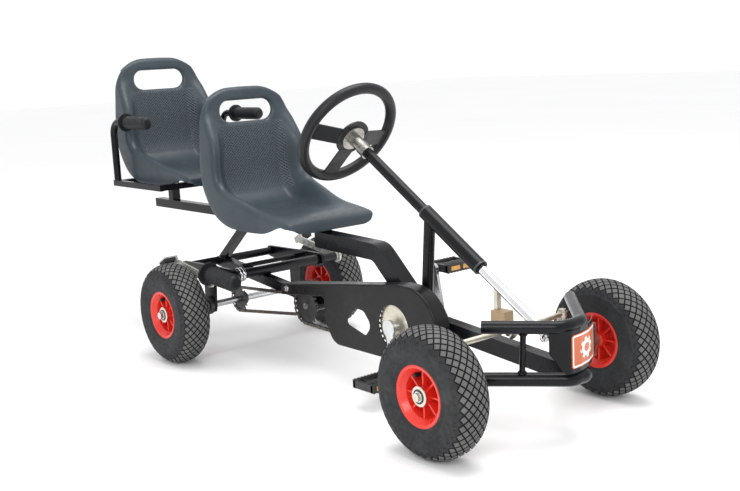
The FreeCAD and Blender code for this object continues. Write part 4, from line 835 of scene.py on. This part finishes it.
def number_plate_print():
    """White border and a plain cog-wheel emblem."""
    shape = Shape()
    border_outside = rounded_outline(-41.5, 60.5, 158.5, 221.5, 5.0)
    border_inside = rounded_outline(-38.0, 57.0, 162.0, 218.0, 3.5)
    printed_ring(shape, border_outside, border_inside)
    middle_y, middle_z, points = 9.0, 190.0, 96
    outer, inner = [], []
    for number in range(points):
        angle = 2.0 * math.pi * number / points
        radius = 21.0 if number % 12 < 6 else 16.0
        outer.append((middle_y + 1.25 * radius * math.cos(angle), middle_z + radius * math.sin(angle)))
        inner.append((middle_y + 1.25 * 8.5 * math.cos(angle), middle_z + 8.5 * math.sin(angle)))
    printed_ring(shape, outer, inner)
    return shape.piece("plate_print", ("white",), "chassis", "plate")


number_plate_print()


# ---- bolts, collars and washers -----------------------------------------------------------
def guard_bolt():
    """Hexagon bolt through the narrow rear end of the chain guard."""
    shape = Shape()
    shape.hex_bolt((252.0, -68.0, 196.0), (0, -1, 0), 11.0, 6.0)
    return shape.piece("guard_bolt", ("steel",), "chassis", "steel", bevel=0.3)


guard_bolt()


def collars():
    """Bright ring on the steering shaft's lower end and the split collar on the brake shaft."""
    shape = Shape()
    x, y, z = on_column(655.0)
    along = (math.cos(COLUMN_ANGLE), 0.0, -math.sin(COLUMN_ANGLE))
    ring = [(11.2, 0), (16.0, 0), (16.5, 1.0), (16.5, 7.0), (16.0, 8.0), (11.2, 8.0)]
    shape.lathe(ring, (x, y, z), along, 40, closed=True)
    shape.piece("shaft_ring", ("chrome",), "steering", "steel", bevel=0.3)
    shape = Shape()
    for low in (-122.0, -113.0):
        shape.lathe([(13.2, 0), (18.0, 0), (19.0, 1.2), (19.0, 5.8), (18.0, 7.0), (13.2, 7.0)],
                    (BRAKE_X, low, BRAKE_Z), (0, 1, 0), 40, closed=True)
    shape.piece("brake_collar", ("chrome",), "brake", "steel", bevel=0.3)


collars()


def ridged(shape, start, end, radius, rings):
    """Soft rings round a hand grip from start to end."""
    start, end = Vector(start), Vector(end)
    ahead = (end - start).normalized()
    step = (end - start).length / rings
    for number in range(rings):
        middle = start + ahead * (number + 0.5) * step
        shape.lathe([(radius - 0.4, -step * 0.36), (radius + 1.3, -step * 0.18), (radius + 1.3, step * 0.18),
                     (radius - 0.4, step * 0.36)], middle, ahead, 32)


ARM_GRIP_X, ARM_GRIP_Y, ARM_GRIP_Z = (-300.0, -198.0), 182.0, 613.0
BRAKE_GRIP_Y, BRAKE_GRIP_Z, BRAKE_GRIP_DIP = -211.0, 241.0, math.radians(4.0)


def grip_rings():
    """Moulded rings on the two arm grips and on the brake's hand grip."""
    shape = Shape()
    for side in (-1.0, 1.0):
        rear, front = [(x, side * ARM_GRIP_Y, ARM_GRIP_Z) for x in ARM_GRIP_X]
        ridged(shape, rear, front, 16.5, 14)
    shape.piece("arm_grip_rings", ("grip",), "chassis", "grip")
    shape = Shape()
    ends = [(BRAKE_X + reach * math.cos(BRAKE_GRIP_DIP), BRAKE_GRIP_Y,
             BRAKE_GRIP_Z - reach * math.sin(BRAKE_GRIP_DIP)) for reach in (22.0, 126.0)]
    ridged(shape, ends[0], ends[1], 20.5, 14)
    shape.piece("brake_grip_rings", ("grip",), "brake", "grip")


grip_rings()


def wheel_cap():
    """Black domed cap over the driver's side of the steering wheel's hub."""
    shape = Shape()
    along = (math.cos(COLUMN_ANGLE), 0.0, -math.sin(COLUMN_ANGLE))
    profile = [(0, -9.0), (14.0, -8.4), (24.0, -6.4), (30.0, -3.2), (32.5, 0.5), (32.5, 4.0), (30.3, 4.0)]
    shape.lathe(profile, on_column(-46.0), along, 48)
    shape.piece("wheel_cap", ("wheel_grip",), "steering", "wheel_grip")


wheel_cap()


STRUTS = [((1062.0, -87.5, 130.0), (1078.0, -98.0, 239.0)), ((1062.0, 84.0, 130.0), (1058.0, 81.0, 239.0))]
STRUT_RADIUS, BEAD = 6.0, 2.6


def weld_beads():
    """Uneven weld beads round the two ends of each bumper strut."""
    shape = Shape()
    for low, high in STRUTS:
        low, high = Vector(low), Vector(high)
        ahead = (high - low).normalized()
        side = ahead.orthogonal().normalized()
        other = ahead.cross(side)
        for middle in (low + ahead * 15.0, high - ahead * 14.0):
            path = []
            for number in range(28):
                turn = 2.0 * math.pi * number / 28
                radius = STRUT_RADIUS + 0.6 + random.uniform(-0.3, 0.3)
                lift = random.uniform(-0.4, 0.4)
                out = side * math.cos(turn) + other * math.sin(turn)
                path.append(middle + out * radius + ahead * lift)
            shape.tube(path, BEAD, 8, closed=True)
    shape.piece("strut_welds", ("frame",), "chassis", "frame")


weld_beads()


def hub_nuts():
    """Cream washer, dark lock ring and hexagon nut stacked on each wheel's outer face."""
    for end, x, face_y in (("front", WHEELBASE, 292.5), ("rear", 0.0, 284.5)):
        for side_name, side in (("right", -1.0), ("left", 1.0)):
            body = "rear_axle" if end == "rear" else "knuckle_" + side_name
            shape = Shape()
            outward = (0, side, 0)
            centre = (x, side * face_y, TYRE_RADIUS)
            washer = [(8.0, 0), (19.2, 0), (19.2, 1.0), (18.4, 1.4), (8.0, 1.4)]
            lock_ring = [(8.0, 1.4), (14.5, 1.4), (14.5, 2.8), (8.0, 2.8)]
            shape.lathe(washer, centre, outward, 40, 0, closed=True)
            shape.lathe(lock_ring, centre, outward, 40, 1, closed=True)
            shape.hex_bolt((x, side * (face_y + 2.8), TYRE_RADIUS), outward, 15.0, 4.5, 2)
            name = "hub_nut_%s_%s" % (end, side_name)
            shape.piece(name, ("cream", "dark_steel", "steel"), body, "steel", bevel=0.3)


hub_nuts()


# ---- camera, light and floor --------------------------------------------------------------
def camera():
    """The studio camera: where it stands, its heading, dip and roll, and its lens."""
    azimuth, dip, roll = math.radians(50.86), math.radians(10.17), math.radians(-2.92)
    back = Vector((math.sin(azimuth) * math.cos(dip), -math.cos(azimuth) * math.cos(dip), math.sin(dip)))
    right = Vector((math.cos(azimuth), math.sin(azimuth), 0.0))
    up = back.cross(right)
    rolled_right = right * math.cos(roll) + up * math.sin(roll)
    rolled_up = up * math.cos(roll) - right * math.sin(roll)
    data = bpy.data.cameras.new("camera")
    data.sensor_width = 36.0
    data.lens = 52.08
    data.shift_x, data.shift_y = 0.0031, 0.0016
    data.clip_start, data.clip_end = 0.05, 60.0
    eye = bpy.data.objects.new("camera", data)
    turn = Matrix((rolled_right, rolled_up, back)).transposed().to_4x4()
    eye.matrix_world = Matrix.Translation(Vector((2.1068, -1.5725, 0.7663))) @ turn
    bpy.context.scene.collection.objects.link(eye)
    bpy.context.scene.camera = eye


def area_light(name, place_at, look_at, size, power, tint=(1.0, 1.0, 1.0)):
    data = bpy.data.lights.new(name, "AREA")
    data.shape = "DISK"
    data.size = size
    data.energy = power
    data.color = tint
    light = bpy.data.objects.new(name, data)
    light.location = place_at
    light.rotation_euler = (Vector(look_at) - Vector(place_at)).to_track_quat("-Z", "Y").to_euler()
    bpy.context.scene.collection.objects.link(light)


def studio():
    """White floor under an even white sky, with a broad overhead light and a softer front one."""
    world = bpy.data.worlds.new("studio")
    bpy.context.scene.world = world
    world.use_nodes = True
    world.node_tree.nodes["Background"].inputs["Color"].default_value = (0.99, 0.995, 1.0, 1.0)
    world.node_tree.nodes["Background"].inputs["Strength"].default_value = 1.05
    area_light("overhead", (0.4, 0.3, 3.2), (0.0, 0.0, 0.2), 2.6, 75.0, (1.0, 0.99, 0.97))
    area_light("front", (2.6, -2.8, 2.2), (0.0, 0.0, 0.3), 2.0, 45.0)
    mesh = bpy.data.meshes.new("floor")
    reach = 20.0
    corners = [(-reach, -reach, 0.0), (reach, -reach, 0.0), (reach, reach, 0.0), (-reach, reach, 0.0)]
    mesh.from_pydata(corners, [], [(0, 1, 2, 3)])
    shader = Shader("floor_white", 0.9, specular=0.1)
    shader.colour(shader.mix(shader.noise(0.6), (0.90, 0.90, 0.90), (0.94, 0.94, 0.94)))
    mesh.materials.append(shader.material)
    floor = bpy.data.objects.new("floor", mesh)
    bpy.context.scene.collection.objects.link(floor)
    bpy.context.scene.view_settings.view_transform = "Standard"


camera()
studio()
